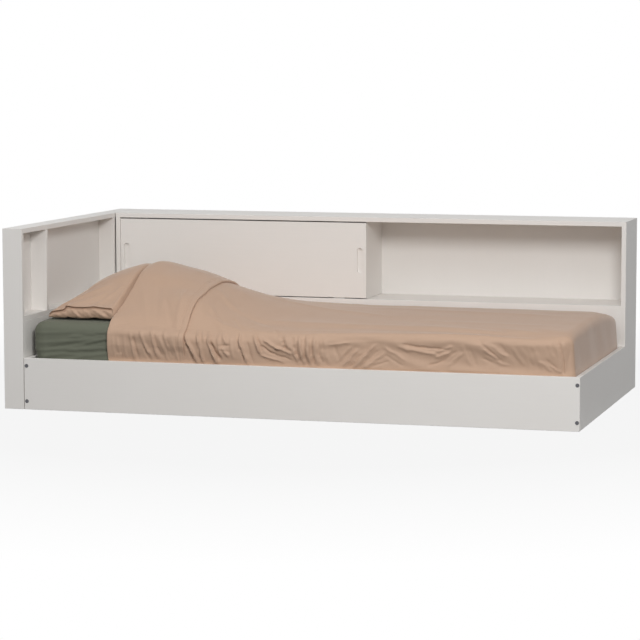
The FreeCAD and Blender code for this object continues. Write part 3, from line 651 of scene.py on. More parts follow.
# %% [markdown]
# ## The table of heights
# Each row is one cut across the bed: its distance from the fold in metres, and the duvet's
# height over the sheet in millimetres at the places across, from -1 at the front edge of the top
# to 1 at the back edge. Where the tuck pulls the front edge down, the height is below zero.

# %% The duvet's heights
SECTION_PLACES = [-1.0, -0.9, -0.75, -0.5, -0.28, 0.0, 0.25, 0.5, 0.75, 1.0]
DUVET_SECTIONS = [
    (0.000, (-9, 6, 39, 93, 139, 163, 158, 128, 70, 0)),
    (0.035, (-9, 8, 42, 96, 142, 172, 164, 130, 70, 0)),
    (0.110, (-10, 14, 50, 98, 138, 158, 150, 116, 60, -2)),
    (0.190, (-12, 20, 58, 97, 129, 143, 132, 96, 45, -4)),
    (0.290, (-15, 24, 63, 91, 106, 111, 96, 60, 24, -6)),
    (0.350, (-17, 10, 38, 66, 84, 90, 78, 50, 20, -6)),
    (0.430, (-24, -6, 14, 38, 56, 64, 58, 38, 15, -7)),
    (0.580, (-27, -14, 0, 18, 32, 38, 34, 24, 9, -8)),
    (0.740, (-25, -12, 0, 11, 19, 24, 23, 17, 7, -8)),
    (1.080, (-16, -6, 2, 9, 15, 19, 19, 15, 6, -8)),
    (1.440, (-6, 2, 7, 11, 15, 18, 17, 12, 5, -7)),
    (1.620, (-2, 5, 10, 13, 16, 17, 16, 12, 4, -8)),
    (1.720, (-3, 4, 9, 12, 13, 13, 10, 3, -9, -26)),
]


def duvet_rise(from_fold, across):
    """How high the duvet lies over the sheet, in metres, at places along and across the bed."""
    from_fold, across = np.broadcast_arrays(np.asarray(from_fold, float), np.asarray(across, float))
    columns = [through([(place, heights[number]) for place, heights in DUVET_SECTIONS], from_fold)
               for number in range(len(SECTION_PLACES))]
    columns = np.array(columns)
    places = np.array(SECTION_PLACES)
    clipped = np.clip(across, -1.0, 1.0)
    span = np.clip(np.searchsorted(places, clipped, side="right") - 1, 0, len(places) - 2)
    steps = np.diff(columns, axis=0) / np.diff(places).reshape(-1, *[1] * across.ndim)
    slopes = np.concatenate([steps[:1], (steps[1:] + steps[:-1]) / 2, steps[-1:]])
    picked = [np.take_along_axis(table, number[None], 0)[0]
              for table, number in ((columns, span), (columns, span + 1), (slopes, span), (slopes, span + 1))]
    width = places[span + 1] - places[span]
    t = (clipped - places[span]) / width
    height = (picked[0] * (2 * t**3 - 3 * t**2 + 1) + picked[1] * (3 * t**2 - 2 * t**3)
              + width * picked[2] * (t**3 - 2 * t**2 + t) + width * picked[3] * (t**3 - t**2))
    return height * MILLI


print("duvet up to", round(float(duvet_rise(0.035, 0.0)) * 1000), "mm over the sheet")

# %% [markdown]
# ## On and under the duvet
# Across the bed the surface follows the table up to the edge of the top. There it starts at the
# slope that the table has, turns round a radius until it is upright, and goes straight down into
# the gap beside the mattress. It goes over the foot end in the same way, and round the corner
# the two ways are mixed.

# %% The duvet's form
UNDER_OPEN_OVER = 0.03
UNDER_OPEN_RISE = 0.4
SLOPE_NUDGE = 0.02
SMALLEST_RADIUS = 0.004


def under_duvet(x, y, room):
    """The height that anything under the duvet has to stay below. There is no limit before its fold."""
    past = np.clip(np.abs(y - duvet_middle) - flat_half, 0.0, EDGE_RADIUS * 0.98)
    turned = EDGE_RADIUS - np.sqrt(EDGE_RADIUS**2 - past**2)
    top = bed_surface + duvet_rise(x - duvet_low.x, (y - duvet_middle) / flat_half) - turned - room
    return top + np.clip((duvet_low.x + 0.003 - x) / UNDER_OPEN_OVER, 0.0, 1.0) ** 2 * UNDER_OPEN_RISE


def duvet_form(a, side, hang, foot):
    """Points of the duvet: a along the bed, side from -1 to 1 across the top, and how far, from
    0 to 1, the cloth has gone down over the long side and over the foot."""
    height = bed_surface + duvet_rise(a - duvet_low.x, side)
    inward = duvet_rise(a - duvet_low.x, side * (1 - SLOPE_NUDGE))
    slope = (duvet_rise(a - duvet_low.x, side) - inward) / SLOPE_NUDGE
    lean = np.arctan(np.clip(-slope / flat_half, 0.0, None))
    past = np.minimum(np.hypot(hang, foot), 1.0)
    way_side = np.where(past > 0, hang / np.maximum(np.hypot(hang, foot), 1e-9), 0.0)
    way_foot = np.where(past > 0, foot / np.maximum(np.hypot(hang, foot), 1e-9), 0.0)
    turn = lean * way_side**2
    edge_radius = EDGE_RADIUS / (1 - np.sin(turn)) * way_side**2 + FOOT_RADIUS * way_foot**2
    edge_radius = np.maximum(edge_radius, SMALLEST_RADIUS)
    arc = edge_radius * (math.pi / 2 - turn)
    full = arc + height - edge_radius * np.cos(turn) - TUCK_TO
    out, down = over_edge(past * full, 0.0, edge_radius, turn)
    lean_share = np.clip(down / (bed_surface - TUCK_TO), 0.0, 1.0)
    x = a + way_foot * (out + FOOT_LEAN * lean_share)
    y = duvet_middle + side * flat_half + np.sign(side) * way_side * out
    return np.stack([x, y, height - down], axis=-1)


print("duvet form from", round(duvet_low.x, 3), "to", round(foot_inside, 3))

# %% [markdown]
# ## Mattress
# Under the sheet lies a foam mattress in a knitted cover. It only shows from below, between the
# slats. A cube with bevelled edges would look much the same. Here it is one closed skin of rings
# that go round the box from the middle of the top, over the edge and under, because then each
# point can be pressed by the tucked duvet: down along the edges, and in at the front and at the
# foot, so that the mattress keeps clear of every fold above it.

# %% Mattress: its outline
MATTRESS_CORNER = 0.055
MATTRESS_EDGE = 0.034
MATTRESS_CROWN = 0.007
FOOT_PRESSED_IN = 0.010
FRONT_PRESSED_IN = 0.006
SHEET_OVER_MATTRESS = 0.0025
ROOM_FOR_SHEET = 0.013
ROOM_FOR_MATTRESS = 0.018


def rounded_outline(low, high, corner, inset, count=160):
    """Points round a rectangle with round corners, drawn in by inset."""
    half = Vector(((high.x - low.x) / 2 - inset, (high.y - low.y) / 2 - inset))
    middle = Vector(((high.x + low.x) / 2, (high.y + low.y) / 2))
    radius = max(corner - inset, 0.001)
    straight = (half.x - radius, half.y - radius)
    points = []
    for number in range(count):
        angle = 2 * math.pi * (number + 0.5) / count
        side = (math.copysign(1, math.cos(angle)), math.copysign(1, math.sin(angle)))
        share = abs(math.sin(angle)) ** 0.4, abs(math.cos(angle)) ** 0.4
        if share[0] > share[1]:
            x = side[0] * straight[0] * share[1] / share[0] + radius * math.cos(angle)
            y = side[1] * straight[1] + radius * math.sin(angle)
        else:
            x = side[0] * straight[0] + radius * math.cos(angle)
            y = side[1] * straight[1] * share[0] / share[1] + radius * math.sin(angle)
        points.append((middle.x + x, middle.y + y))
    return points


def pressed_front(x, y, front):
    """How far the duvet presses the front side in, past its own fold."""
    covered = ramp(x - duvet_low.x, 0.05, 0.08)
    return FRONT_PRESSED_IN * covered * np.clip((front + 0.06 - y) / 0.04, 0.0, 1.0)


print("mattress", round(mattress_high.x - mattress_low.x, 3), "m long")

# %% Mattress
TOP_SHARES = (0.98, 0.9, 0.8, 0.7, 0.6, 0.5, 0.4, 0.3, 0.2, 0.1)
BOTTOM_EDGE = 0.02


def mattress_rings(low, high):
    """How far in and how high each ring lies, from the middle of the top to under the bottom."""
    rings = [(share * 0.42, high.z - MATTRESS_CROWN * (1 - share) ** 2) for share in TOP_SHARES]
    for number in range(7):
        angle = math.pi / 2 * number / 6
        rings.append((MATTRESS_EDGE * (1 - math.sin(angle)) + 0.0006,
                      high.z - MATTRESS_CROWN - MATTRESS_EDGE * (1 - math.cos(angle))))
    rings.append((0.003, high.z - 0.09))
    rings.append((0.0035, low.z + 0.05))
    for number in range(5):
        angle = math.pi / 2 * number / 4
        inset = BOTTOM_EDGE * (1 - math.cos(angle)) + 0.002
        rings.append((inset, low.z + BOTTOM_EDGE * (1 - math.sin(angle))))
    rings.append((0.2, low.z))
    return rings


def make_mattress():
    low = mattress_low
    high = mattress_high - Vector((FOOT_PRESSED_IN, 0.0, SHEET_OVER_MATTRESS))
    rings = [[(x, y, z) for x, y in rounded_outline(low, high, MATTRESS_CORNER, inset)]
             for inset, z in mattress_rings(low, high)]
    points = np.array([point for ring in rings for point in ring])
    points[:, 1] += pressed_front(points[:, 0], points[:, 1], low.y)
    points[:, 2] = below(points[:, 2], under_duvet(points[:, 0], points[:, 1], ROOM_FOR_MATTRESS))
    count = len(rings[0])
    faces = net_faces(len(rings), count, closed=True)
    faces.append(tuple(range(count))[::-1])
    faces.append(tuple(range(len(points) - count, len(points))))
    made = soft_piece("mattress_body", points, faces, ticking)
    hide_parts("mattress")
    return made


mattress_body = make_mattress()
print("mattress", len(mattress_body.data.polygons), "faces")

# %% [markdown]
# ## Fitted sheet
# A fitted sheet is one cut of stretchy jersey, pulled over the mattress and gathered under it.
# Flat, it is as wide as the top and both sides. The net below is that flat cut: each of its
# points goes to the place on the mattress that it would be pulled to. The net is fine only at
# the head end, where the sheet shows. There it has the long slack creases of cloth that isn't
# pulled quite tight, each laid from a place in the photograph.

# %% Fitted sheet: its creases
HEAD_SWELL = 0.007
SHEET_WAVE = 0.0012
CREASE_LEAST = -0.004
CREASE_MOST = 0.0042
SHEET_CREASES = [
    (34, 330, 60, 330, 3.0, -3.4), (36, 333, 74, 332, 4.5, 3.6), (70, 337, 109, 332, 3.6, 5.0),
    (78, 335.5, 110, 334, 2.2, -6.0), (36, 343, 70, 341, 5.0, 3.2), (66, 341, 96, 339, 5.0, 3.0),
    (50, 347, 80, 343, 3.0, -4.2), (86, 343, 110, 338, 3.0, 4.6), (84, 346, 108, 341, 2.4, -4.6),
    (34, 351, 72, 348, 4.0, 4.0), (68, 350, 104, 348, 3.4, 4.2), (66, 352.5, 110, 351, 2.4, -4.6),
    (40, 356, 70, 353, 3.6, 3.4), (74, 357, 108, 354, 4.0, 4.2), (46, 358.5, 76, 357, 3.0, -5.0),
    (60, 327, 106, 324, 4.0, 2.8), (44, 326, 80, 323.5, 3.0, -2.4),
]


def sheet_relief(net, down, way_x, way_y):
    """How far the sheet stands out from the mattress's form."""
    low = sheet_low
    side = ramp(down, 0.02, 0.03) * np.clip(-way_y, 0, 1)
    above_rail = ramp(net[..., 2] - rail_top, 0.004, 0.03)
    at_head = np.clip(-way_x, 0, 1) * above_rail * ramp(down, 0.0, 0.03)
    relief = creases_at(SHEET_CREASES, net[..., 0], net[..., 2], low.y) * side
    hanging = ramp(down, 0.0, 0.15)
    wave = noise_over(net, 0.06, 3, stretch=(1.0, 1.0, 2.2))
    relief += wave * SHEET_WAVE * (0.3 + hanging)
    # the lower hem stays inside the gap between the mattress and the rail
    relief *= ramp(net[..., 2] - low.z, 0.0, 0.05)
    # and the part that the duvet covers stays smooth
    shown = np.clip((duvet_low.x + 0.07 - net[..., 0]) / 0.04, 0.0, 1.0)
    return np.clip(relief, CREASE_LEAST, CREASE_MOST) * shown + at_head * HEAD_SWELL


print(len(SHEET_CREASES), "creases in the sheet")

# %% Fitted sheet
FINE_STEP_ALONG = 0.007
FINE_STEP_ACROSS = 0.005
COARSE_STEP_ALONG = 0.03
COARSE_STEP_ACROSS = 0.02


def make_fitted_sheet():
    low, high = sheet_low, sheet_high - Vector((FOOT_PRESSED_IN, 0.0, 0.0))
    flat = MATTRESS_CORNER - MATTRESS_EDGE
    arc = MATTRESS_EDGE * math.pi / 2
    hang = high.z - MATTRESS_CROWN - MATTRESS_EDGE - low.z
    drop = flat + arc + hang
    inner_low = (low.x + MATTRESS_CORNER, low.y + MATTRESS_CORNER)
    inner_high = (high.x - MATTRESS_CORNER, high.y - MATTRESS_CORNER)
    a = steps_between([(inner_low[0] - drop, FINE_STEP_ALONG), (duvet_low.x + 0.08, COARSE_STEP_ALONG),
                       (inner_high[0] + drop, COARSE_STEP_ALONG)])
    b = steps_between([(inner_low[1] - drop, FINE_STEP_ACROSS), (inner_low[1] + 0.02, COARSE_STEP_ACROSS),
                       (inner_high[1] - 0.05, COARSE_STEP_ACROSS),
                       (inner_high[1] + drop, COARSE_STEP_ACROSS)])
    a, b = np.meshgrid(a, b, indexing="ij")
    x_in = np.clip(a, inner_low[0], inner_high[0])
    y_in = np.clip(b, inner_low[1], inner_high[1])
    past = np.hypot(a - x_in, b - y_in)
    out, down = over_edge(np.minimum(past, drop), flat, MATTRESS_EDGE, 0.0)
    way_x = (a - x_in) / np.maximum(past, 1e-9)
    way_y = (b - y_in) / np.maximum(past, 1e-9)
    across = np.clip((y_in - inner_low[1]) / (inner_high[1] - inner_low[1]), 0, 1)
    crown = MATTRESS_CROWN * (1 - (2 * across - 1) ** 2)
    net = np.stack([x_in + way_x * out, y_in + way_y * out, high.z - MATTRESS_CROWN + crown - down], axis=2)
    net[..., 1] += pressed_front(net[..., 0], net[..., 1], low.y)
    net[..., 2] = below(net[..., 2], under_duvet(net[..., 0], net[..., 1], ROOM_FOR_SHEET))
    net = net + net_normals(net) * sheet_relief(net, down, way_x, way_y)[..., None]
    kept = (past <= drop).reshape(-1)
    faces = [face for face in net_faces(*past.shape) if kept[list(face)].any()]
    points, faces = trimmed(net.reshape(-1, 3), faces)
    made = soft_piece("fitted_sheet_cloth", points, faces, green_jersey)
    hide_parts("fitted_sheet")
    return made


fitted_sheet_cloth = make_fitted_sheet()
print("fitted sheet", len(fitted_sheet_cloth.data.polygons), "faces")

# %% [markdown]
# ## Pillow in its case
# The pillow is plump towards the head end and flat at its seams. Its case is open towards the
# front: the hem of the case's top layer stands over the opening like a lip, and under it
# the slack cloth of the inner layer is crumpled. Each cut across the pillow is one closed loop:
# over the top from the back, down to the lip, in under it, over the crumpled cloth and back
# along the bottom. Two sheets that are joined at their seams and blown up as cloth would find a
# shape of their own, so two outlines give the plumpness, one from the side and one from the end.

# %% Pillow: its outlines
pillow_low, pillow_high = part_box("pillow")
PILLOW_SEAM = 0.014
PILLOW_SIDE_VIEW = [
    (0.0, 0.0), (0.03, 0.33), (0.07, 0.52), (0.1, 0.64), (0.14, 0.80), (0.2, 0.96), (0.26, 1.06),
    (0.32, 1.14), (0.38, 1.20), (0.44, 1.20), (0.47, 1.12), (0.62, 0.88), (0.83, 0.5), (1.0, 0.0),
]
PILLOW_END_VIEW = [
    (0.0, 0.20), (0.08, 0.29), (0.15, 0.45), (0.222, 0.61), (0.353, 0.87), (0.5, 0.99), (0.56, 1.0),
    (0.73, 0.85), (0.9, 0.52), (1.0, 0.06),
]
PILLOW_LIP = [
    (0.0, 0.012), (0.02, 0.024), (0.05, 0.028), (0.08, 0.031), (0.110, 0.036), (0.125, 0.049),
    (0.150, 0.047), (0.20, 0.045), (0.26, 0.046), (0.305, 0.049), (0.35, 0.046), (0.40, 0.044),
    (0.9, 0.030), (1.0, 0.010),
]
PILLOW_CORNER_DRAW = 0.016
PILLOW_SIDE_DRAW = 0.024
ROOM_FOR_PILLOW = 0.011
PILLOW_FOLDS = [
    (0.06, 0.05, 0.30, 0.22, 9.0, 3.0), (0.16, 0.03, 0.34, 0.16, 7.0, 2.4),
    (0.30, 0.03, 0.40, 0.22, 8.0, 2.6), (0.24, 0.02, 0.33, 0.10, 5.0, -1.8),
    (0.40, 0.02, 0.44, 0.15, 7.0, 2.2), (0.05, 0.20, 0.20, 0.40, 10.0, 2.2),
    (0.10, 0.10, 0.26, 0.30, 6.0, -1.6),
]
FOLD_GAIN = 1.5


def pillow_share(along, across):
    """How plump the pillow is, from 0 at its seams to 1, at shares of its length and width."""
    side = np.maximum(through(PILLOW_SIDE_VIEW, along), 1e-3)
    end = np.maximum(through(PILLOW_END_VIEW, across), 1e-3)
    return side * end ** (0.4 + 0.6 * np.clip(along / 0.35, 0.0, 1.0))


print("pillow", [round(v, 3) for v in pillow_high - pillow_low])

# %% Pillow: the top
PILLOW_ALONG = np.concatenate([[0.0, 0.004, 0.012], np.linspace(0.025, 0.975, 110), [0.988, 0.996, 1.0]])
PILLOW_ACROSS = np.concatenate([np.linspace(1.0, 0.9, 8)[:-1], np.linspace(0.9, 0.14, 46)[:-1],
                                np.linspace(0.14, 0.0, 16)])


def pillow_top():
    """The net of the upper side, from the back seam to the lip of the opening."""
    low, high = pillow_low, pillow_high
    size = high - low
    u, v = np.meshgrid(PILLOW_ALONG, PILLOW_ACROSS, indexing="ij")
    draw_x = PILLOW_SIDE_DRAW * (1 - (2 * v - 1) ** 2) + PILLOW_CORNER_DRAW * 0.4
    draw_y = PILLOW_SIDE_DRAW * (1 - (2 * u - 1) ** 2) * 0.6
    x = low.x + draw_x + (size.x - 2 * draw_x) * u
    y = low.y + (size.y - draw_y) * v + PILLOW_CORNER_DRAW * (2 * np.abs(u - 0.5)) ** 6 * (1 - v)
    z = low.z + PILLOW_SEAM + (size.z - PILLOW_SEAM - 0.004) * pillow_share(u, v)
    lip = low.z + through(PILLOW_LIP, u)
    near_lip = np.clip(1 - v / 0.1, 0, 1) ** 2
    z = z * (1 - near_lip) + np.maximum(lip, low.z + 0.006) * near_lip
    relief = np.zeros_like(u)
    for u0, v0, u1, v1, width, height in PILLOW_FOLDS:
        start = (low.x + size.x * u0, low.y + size.y * v0)
        end = (low.x + size.x * u1, low.y + size.y * v1)
        relief += ridge(x, y, start, end, width * MILLI) * height * MILLI * FOLD_GAIN
    top = np.stack([x, y, z], axis=2)
    bumps = noise_over(top, 0.07, 11)
    fine = noise_over(top, 0.028, 12)
    edge = np.clip(np.minimum(u, 1 - u) / 0.06, 0, 1) * np.clip(v / 0.03, 0, 1)
    top[..., 2] += (relief + bumps * 0.0022 + fine * 0.0009) * edge
    top[..., 2] = below(top[..., 2], under_duvet(x, y, ROOM_FOR_PILLOW), 0.0015)
    return top


print("pillow's top of", len(PILLOW_ALONG), "by", len(PILLOW_ACROSS), "points")

# %% Pillow: the opening of its case
LIP_DEPTH = 0.044
CRUMPLE = 0.0042
# how far back from the lip and how far down the cloth goes: in under it, then out over the slack
OPENING_PROFILE = [(0.0015, -0.0020), (0.006, -0.0025), (0.011, -0.0035), (0.011, -0.006),
                   (0.008, -0.009), (0.0045, -0.012), (0.002, -0.016), (0.001, -0.021), (0.0, -0.027),
                   (0.001, -0.033), (0.004, -0.039), (0.009, -LIP_DEPTH)]
LIP_FOLDS = [
    (54, 314, 60, 317, 1.8, 4.0), (60, 311, 68, 318, 2.0, 5.0), (66, 312, 73, 318, 1.6, -5.0),
    (70, 309, 80, 318, 2.4, 5.5), (76, 311, 84, 319, 1.8, -5.0), (82, 308, 90, 316, 2.8, 4.6),
    (88, 312, 97, 319, 2.0, -5.5), (92, 309, 106, 318, 3.0, 6.5), (98, 308, 110, 313, 2.4, 5.5),
    (104, 313, 112, 319, 2.0, -5.0), (108, 308, 118, 316, 2.4, 5.5), (110, 306, 117, 311, 1.6, -5.0),
]


def case_opening(lip_points):
    """The net of the open front side, from the lip to the bottom."""
    depth = lip_points[:, 2] - pillow_low.z
    rows = []
    for back, down in OPENING_PROFILE:
        share = np.clip(-down / LIP_DEPTH, 0, 1)
        z = lip_points[:, 2] - np.minimum(-down, share * np.maximum(depth - 0.001, 0.0))
        rows.append(np.stack([lip_points[:, 0], lip_points[:, 1] + back, z], axis=1))
    front = np.stack(rows, axis=1)
    slack = creases_at(LIP_FOLDS, front[..., 0], front[..., 2], pillow_low.y)
    number = np.arange(len(rows))
    inner = np.clip((number - 3) / 2.0, 0, 1) * np.clip((len(rows) - 1 - number) / 2.0, 0, 1)
    crumple = noise_over(front, 0.012, 21, stretch=(1.0, 1.0, 1.6))
    front[..., 1] -= (slack + crumple * CRUMPLE - 0.001) * inner[None, :]
    return front


print(len(LIP_FOLDS), "folds in the opening")

# %% Pillow
BOTTOM_CLEAR = 0.0005
BOTTOM_ROUNDING = 0.009


def pillow_bottom(top, front):
    """The net of the underside, which closes the loop. It lies flat and turns up at its seams."""
    count = top.shape[1] + front.shape[1]
    back_to_front = np.linspace(0.0, 1.0, count)[::-1]
    y = front[:, -1, 1][:, None] * back_to_front + top[:, 0, 1][:, None] * (1 - back_to_front)
    x = np.repeat(top[:, -1, 0][:, None], count - 1, axis=1)
    ends = np.clip(np.minimum(PILLOW_ALONG, 1 - PILLOW_ALONG) / 0.03, 0, 1)[:, None]
    sides = np.clip(np.minimum(back_to_front[1:], 1 - back_to_front[1:]) / 0.05, 0, 1)[None, :]
    z = pillow_low.z + BOTTOM_CLEAR + (1 - ends * sides) * BOTTOM_ROUNDING
    return np.stack([x, y[:, 1:], np.broadcast_to(z, x.shape)], axis=2)


def end_caps(rows, columns):
    """The faces that close both ends of a tube of loops, each folded flat on itself."""
    last = (rows - 1) * columns
    faces = []
    for number in range(columns // 2):
        mirrored = columns - 1 - number
        if mirrored - 1 > number + 1:
            faces.append((number + 1, number, mirrored, mirrored - 1))
            faces.append((last + number, last + number + 1, last + mirrored - 1, last + mirrored))
    return faces


def make_pillow():
    top = pillow_top()
    front = case_opening(top[:, -1, :])
    loop = np.concatenate([top, front, pillow_bottom(top, front)], axis=1)
    rows, columns = loop.shape[:2]
    faces = net_faces(rows, columns, closed=True) + end_caps(rows, columns)
    made = soft_piece("pillow_in_case", loop.reshape(-1, 3), faces, tan_cotton)
    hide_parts("pillow")
    return made


pillow_in_case = make_pillow()
print("pillow", len(pillow_in_case.data.polygons), "faces")

# %% [markdown]
# ## The duvet's folds
# Cloth that is held at its edges and has a little too much length buckles. Along the front it
# stands in upright and slanting folds, tighter near the hem and where the tuck pulls at it.
# Each fold is a short soft ridge or valley between two places in the photograph, with a width
# and a height in millimetres. Noise bends the folds a little, so that none looks ruled. The top
# is nearly smooth, with long low waves, and the foot corner has one pleat.

# %% Duvet: folds of the front
FRONT_FOLDS = [
    (113, 336, 114, 360, 3.0, 2.6), (118, 338, 119, 360, 3.0, 3.0), (124, 336, 126, 360, 3.5, 3.6),
    (131, 334, 134, 360, 4.0, 7.0), (134, 338, 138, 358, 3.0, -8.0), (141, 333, 149, 353, 4.0, 7.5),
    (144, 345, 148, 359, 2.6, -6.0), (149, 350, 152, 361, 3.0, 4.5), (151, 330, 158, 357, 3.6, 7.5),
    (155, 336, 161, 355, 2.8, -7.0), (160, 338, 167, 360, 3.6, 5.0), (164, 332, 170, 350, 3.6, 6.0),
    (168, 340, 172, 356, 2.6, -6.0), (173, 336, 177, 360, 3.4, 4.0), (180, 330, 180, 362, 3.0, 2.0),
    (186, 336, 197, 363, 4.0, 12.0), (187, 345, 193, 363, 2.6, -8.0), (184, 338, 186, 350, 2.6, -4.0),
    (196, 330, 203, 363, 3.6, 11.0), (199, 343, 201, 361, 2.4, -9.0), (198, 322, 204, 342, 4.0, 6.0),
    (204, 325, 216, 363, 4.2, 13.0), (207, 332, 214, 352, 3.0, -8.0), (210, 342, 219, 359, 5.5, -9.0),
    (217, 334, 221, 356, 3.2, 7.0), (221, 334, 227, 344, 6.0, 6.5), (223, 348, 228, 356, 5.5, 6.0),
    (219, 346, 230, 345, 2.0, -3.0), (219, 351, 229, 351, 2.0, -3.0), (230, 338, 233, 358, 3.6, 4.0),
    (236, 333, 239, 350, 2.8, -8.0), (238, 336, 246, 362, 4.0, 10.0), (241, 348, 244, 362, 2.4, -6.0),
    (247, 342, 252, 362, 4.0, -4.0), (251, 330, 260, 354, 4.2, 10.0), (254, 336, 262, 351, 2.6, -9.0),
    (261, 346, 271, 353, 2.6, -9.0), (270, 353, 290, 360, 2.8, -8.0), (264, 341, 280, 350, 4.6, 7.0),
    (276, 348, 291, 354, 4.0, 7.0), (262, 356, 282, 362, 3.4, 6.5), (280, 337, 285, 349, 2.4, -7.0),
    (284, 336, 290, 350, 3.2, 5.0), (291, 338, 294, 350, 2.8, -7.0), (292, 348, 298, 364, 3.4, 8.0),
    (296, 338, 298, 362, 2.6, -9.0), (299, 338, 303, 364, 3.4, 9.5), (303, 340, 306, 364, 2.4, -9.0),
    (306, 336, 310, 364, 3.4, 9.5), (310, 340, 313, 364, 2.4, -9.0), (314, 337, 317, 365, 3.4, 8.0),
    (318, 342, 321, 364, 2.8, -6.0), (323, 338, 328, 364, 4.5, 4.0), (333, 346, 340, 362, 4.0, -4.0),
    (328, 345, 348, 343, 3.6, 3.6), (338, 362, 350, 346, 3.6, 6.0), (344, 366, 357, 350, 3.4, 9.0),
    (348, 368, 360, 355, 2.6, -8.0), (352, 369, 374, 346, 4.0, 10.0), (358, 368, 377, 351, 2.8, -7.0),
    (364, 369, 384, 353, 4.0, 6.5), (372, 366, 388, 362, 3.6, -4.0), (384, 348, 404, 360, 4.6, 5.0),
    (386, 356, 402, 366, 3.6, -4.5), (398, 346, 410, 352, 4.0, 4.0), (404, 345, 424, 347.5, 2.6, -8.0),
    (420, 347, 446, 350, 2.6, -7.5), (406, 349, 436, 355, 5.0, 6.0), (436, 352, 452, 347, 4.6, 5.0),
    (428, 366, 444, 361, 4.0, -7.0), (442, 362, 456, 351, 4.0, -6.0), (436, 358, 448, 353, 4.6, 6.5),
    (448, 366, 462, 354, 4.6, 5.5), (462, 346, 470, 366, 5.0, 4.0), (470, 350, 476, 366, 3.6, -4.0),
    (480, 342, 489, 351, 2.6, -7.0), (482, 358, 492, 363, 2.6, -6.5), (488, 350, 502, 362, 3.0, -7.0),
    (484, 350, 498, 360, 3.4, 7.0), (492, 346, 506, 357, 3.2, 5.5), (500, 345, 508, 355, 2.6, -5.0),
    (495, 362, 508, 366, 3.0, 4.5), (512, 348, 524, 366, 5.0, 4.0), (524, 346, 532, 366, 4.0, -3.5),
    (532, 346, 542, 368, 5.0, 4.0), (541, 362, 551, 372, 3.0, 6.5), (546, 360, 557, 370, 2.4, -6.0),
    (550, 366, 560, 373, 2.6, 6.0), (548, 344, 553, 358, 5.0, 3.0),
]
FOLD_STRENGTH = [(-0.70, 0.9), (-0.40, 0.95), (-0.30, 1.25), (0.10, 1.2), (0.30, 0.95), (1.05, 0.8)]
FRONT_BULGE = 0.010
FOLDS_WANDER = [(0.030, 35, 0.0045), (0.022, 36, 0.004)]


def front_relief(net, hang, foot):
    """The folds of the front side, at the points of the net."""
    front = (net[..., 1] < duvet_middle) * np.clip(hang * 5.0, 0, 1) * (1 - np.clip(foot * 4.0, 0, 1))
    aside, aloft = [noise_over(net, size, seed) * reach for size, seed, reach in FOLDS_WANDER]
    folds = creases_at(FRONT_FOLDS, net[..., 0] + aside, net[..., 2] + aloft, front_inside - FRONT_BULGE)
    return folds * front * through(FOLD_STRENGTH, net[..., 0])


print(len(FRONT_FOLDS), "folds along the front")

# %% Duvet: waves of the top and unevenness
# places from the fold and from the middle of the bed in metres, width and height in millimetres
TOP_WAVES = [
    (0.50, -0.30, 1.30, -0.34, 26.0, 2.2), (0.80, 0.10, 1.55, 0.02, 30.0, 2.0),
    (0.45, 0.05, 0.95, -0.12, 22.0, 2.4), (0.62, -0.44, 1.02, -0.40, 14.0, -1.8),
    (1.10, -0.20, 1.60, -0.26, 24.0, 1.8), (0.55, 0.20, 1.10, 0.26, 24.0, 2.0),
    (0.33, -0.36, 0.52, -0.44, 12.0, 3.0), (0.36, -0.22, 0.58, -0.36, 12.0, -2.2),
    (0.10, -0.10, 0.26, -0.40, 22.0, 2.4), (0.04, -0.20, 0.14, -0.42, 14.0, 3.4),
    (0.20, 0.00, 0.30, -0.20, 18.0, 3.0), (1.30, 0.12, 1.66, 0.18, 20.0, 1.6),
    (0.10, -0.18, 0.17, -0.40, 10.0, -2.6), (0.22, -0.24, 0.26, -0.44, 9.0, 3.4),
    (0.17, -0.30, 0.24, -0.44, 8.0, -2.4), (0.34, -0.30, 0.44, -0.45, 10.0, 3.4),
    (0.30, -0.12, 0.46, -0.28, 12.0, 2.4), (0.44, -0.34, 0.52, -0.45, 8.0, -2.8),
    (0.53, -0.41, 0.56, -0.45, 6.0, -3.0), (0.62, -0.41, 0.64, -0.45, 6.0, -2.6),
]
BROAD_HEIGHT = 0.0022


def duvet_relief(net, hang, foot):
    """How far each point stands out from the smooth form, in metres."""
    x, y = net[..., 0], net[..., 1]
    relief = front_relief(net, hang, foot)
    level = 1 - np.clip(hang + foot, 0, 1)
    for a0, b0, a1, b1, width, height in TOP_WAVES:
        start = (duvet_low.x + a0, duvet_middle + b0)
        end = (duvet_low.x + a1, duvet_middle + b1)
        relief += ridge(x, y, start, end, width * MILLI) * height * MILLI * level
    broad = noise_over(net, 0.16, 31)
    middle = noise_over(net, 0.045, 32, stretch=(1.0, 0.5, 0.7))
    fine = noise_over(net, 0.018, 33, stretch=(1.0, 0.6, 0.6))
    sides = np.clip(hang * 3.0, 0, 1) * (1 - np.clip(foot * 3, 0, 1))
    relief += broad * BROAD_HEIGHT + middle * (0.0006 + 0.0022 * sides) + fine * (0.0002 + 0.0012 * sides)
    return relief


print(len(TOP_WAVES), "waves on top")

# %% Duvet: the pleat at the foot corner
CORNER_FOLD = [(556.5, 339), (560, 346), (562.6, 355), (563.6, 364), (563, 373)]
CREASE_WIDTH, CREASE_DEPTH = 0.0038, 0.0085
LAP_WIDTH, LAP_HEIGHT, LAP_BEFORE = 0.010, 0.003, 0.009


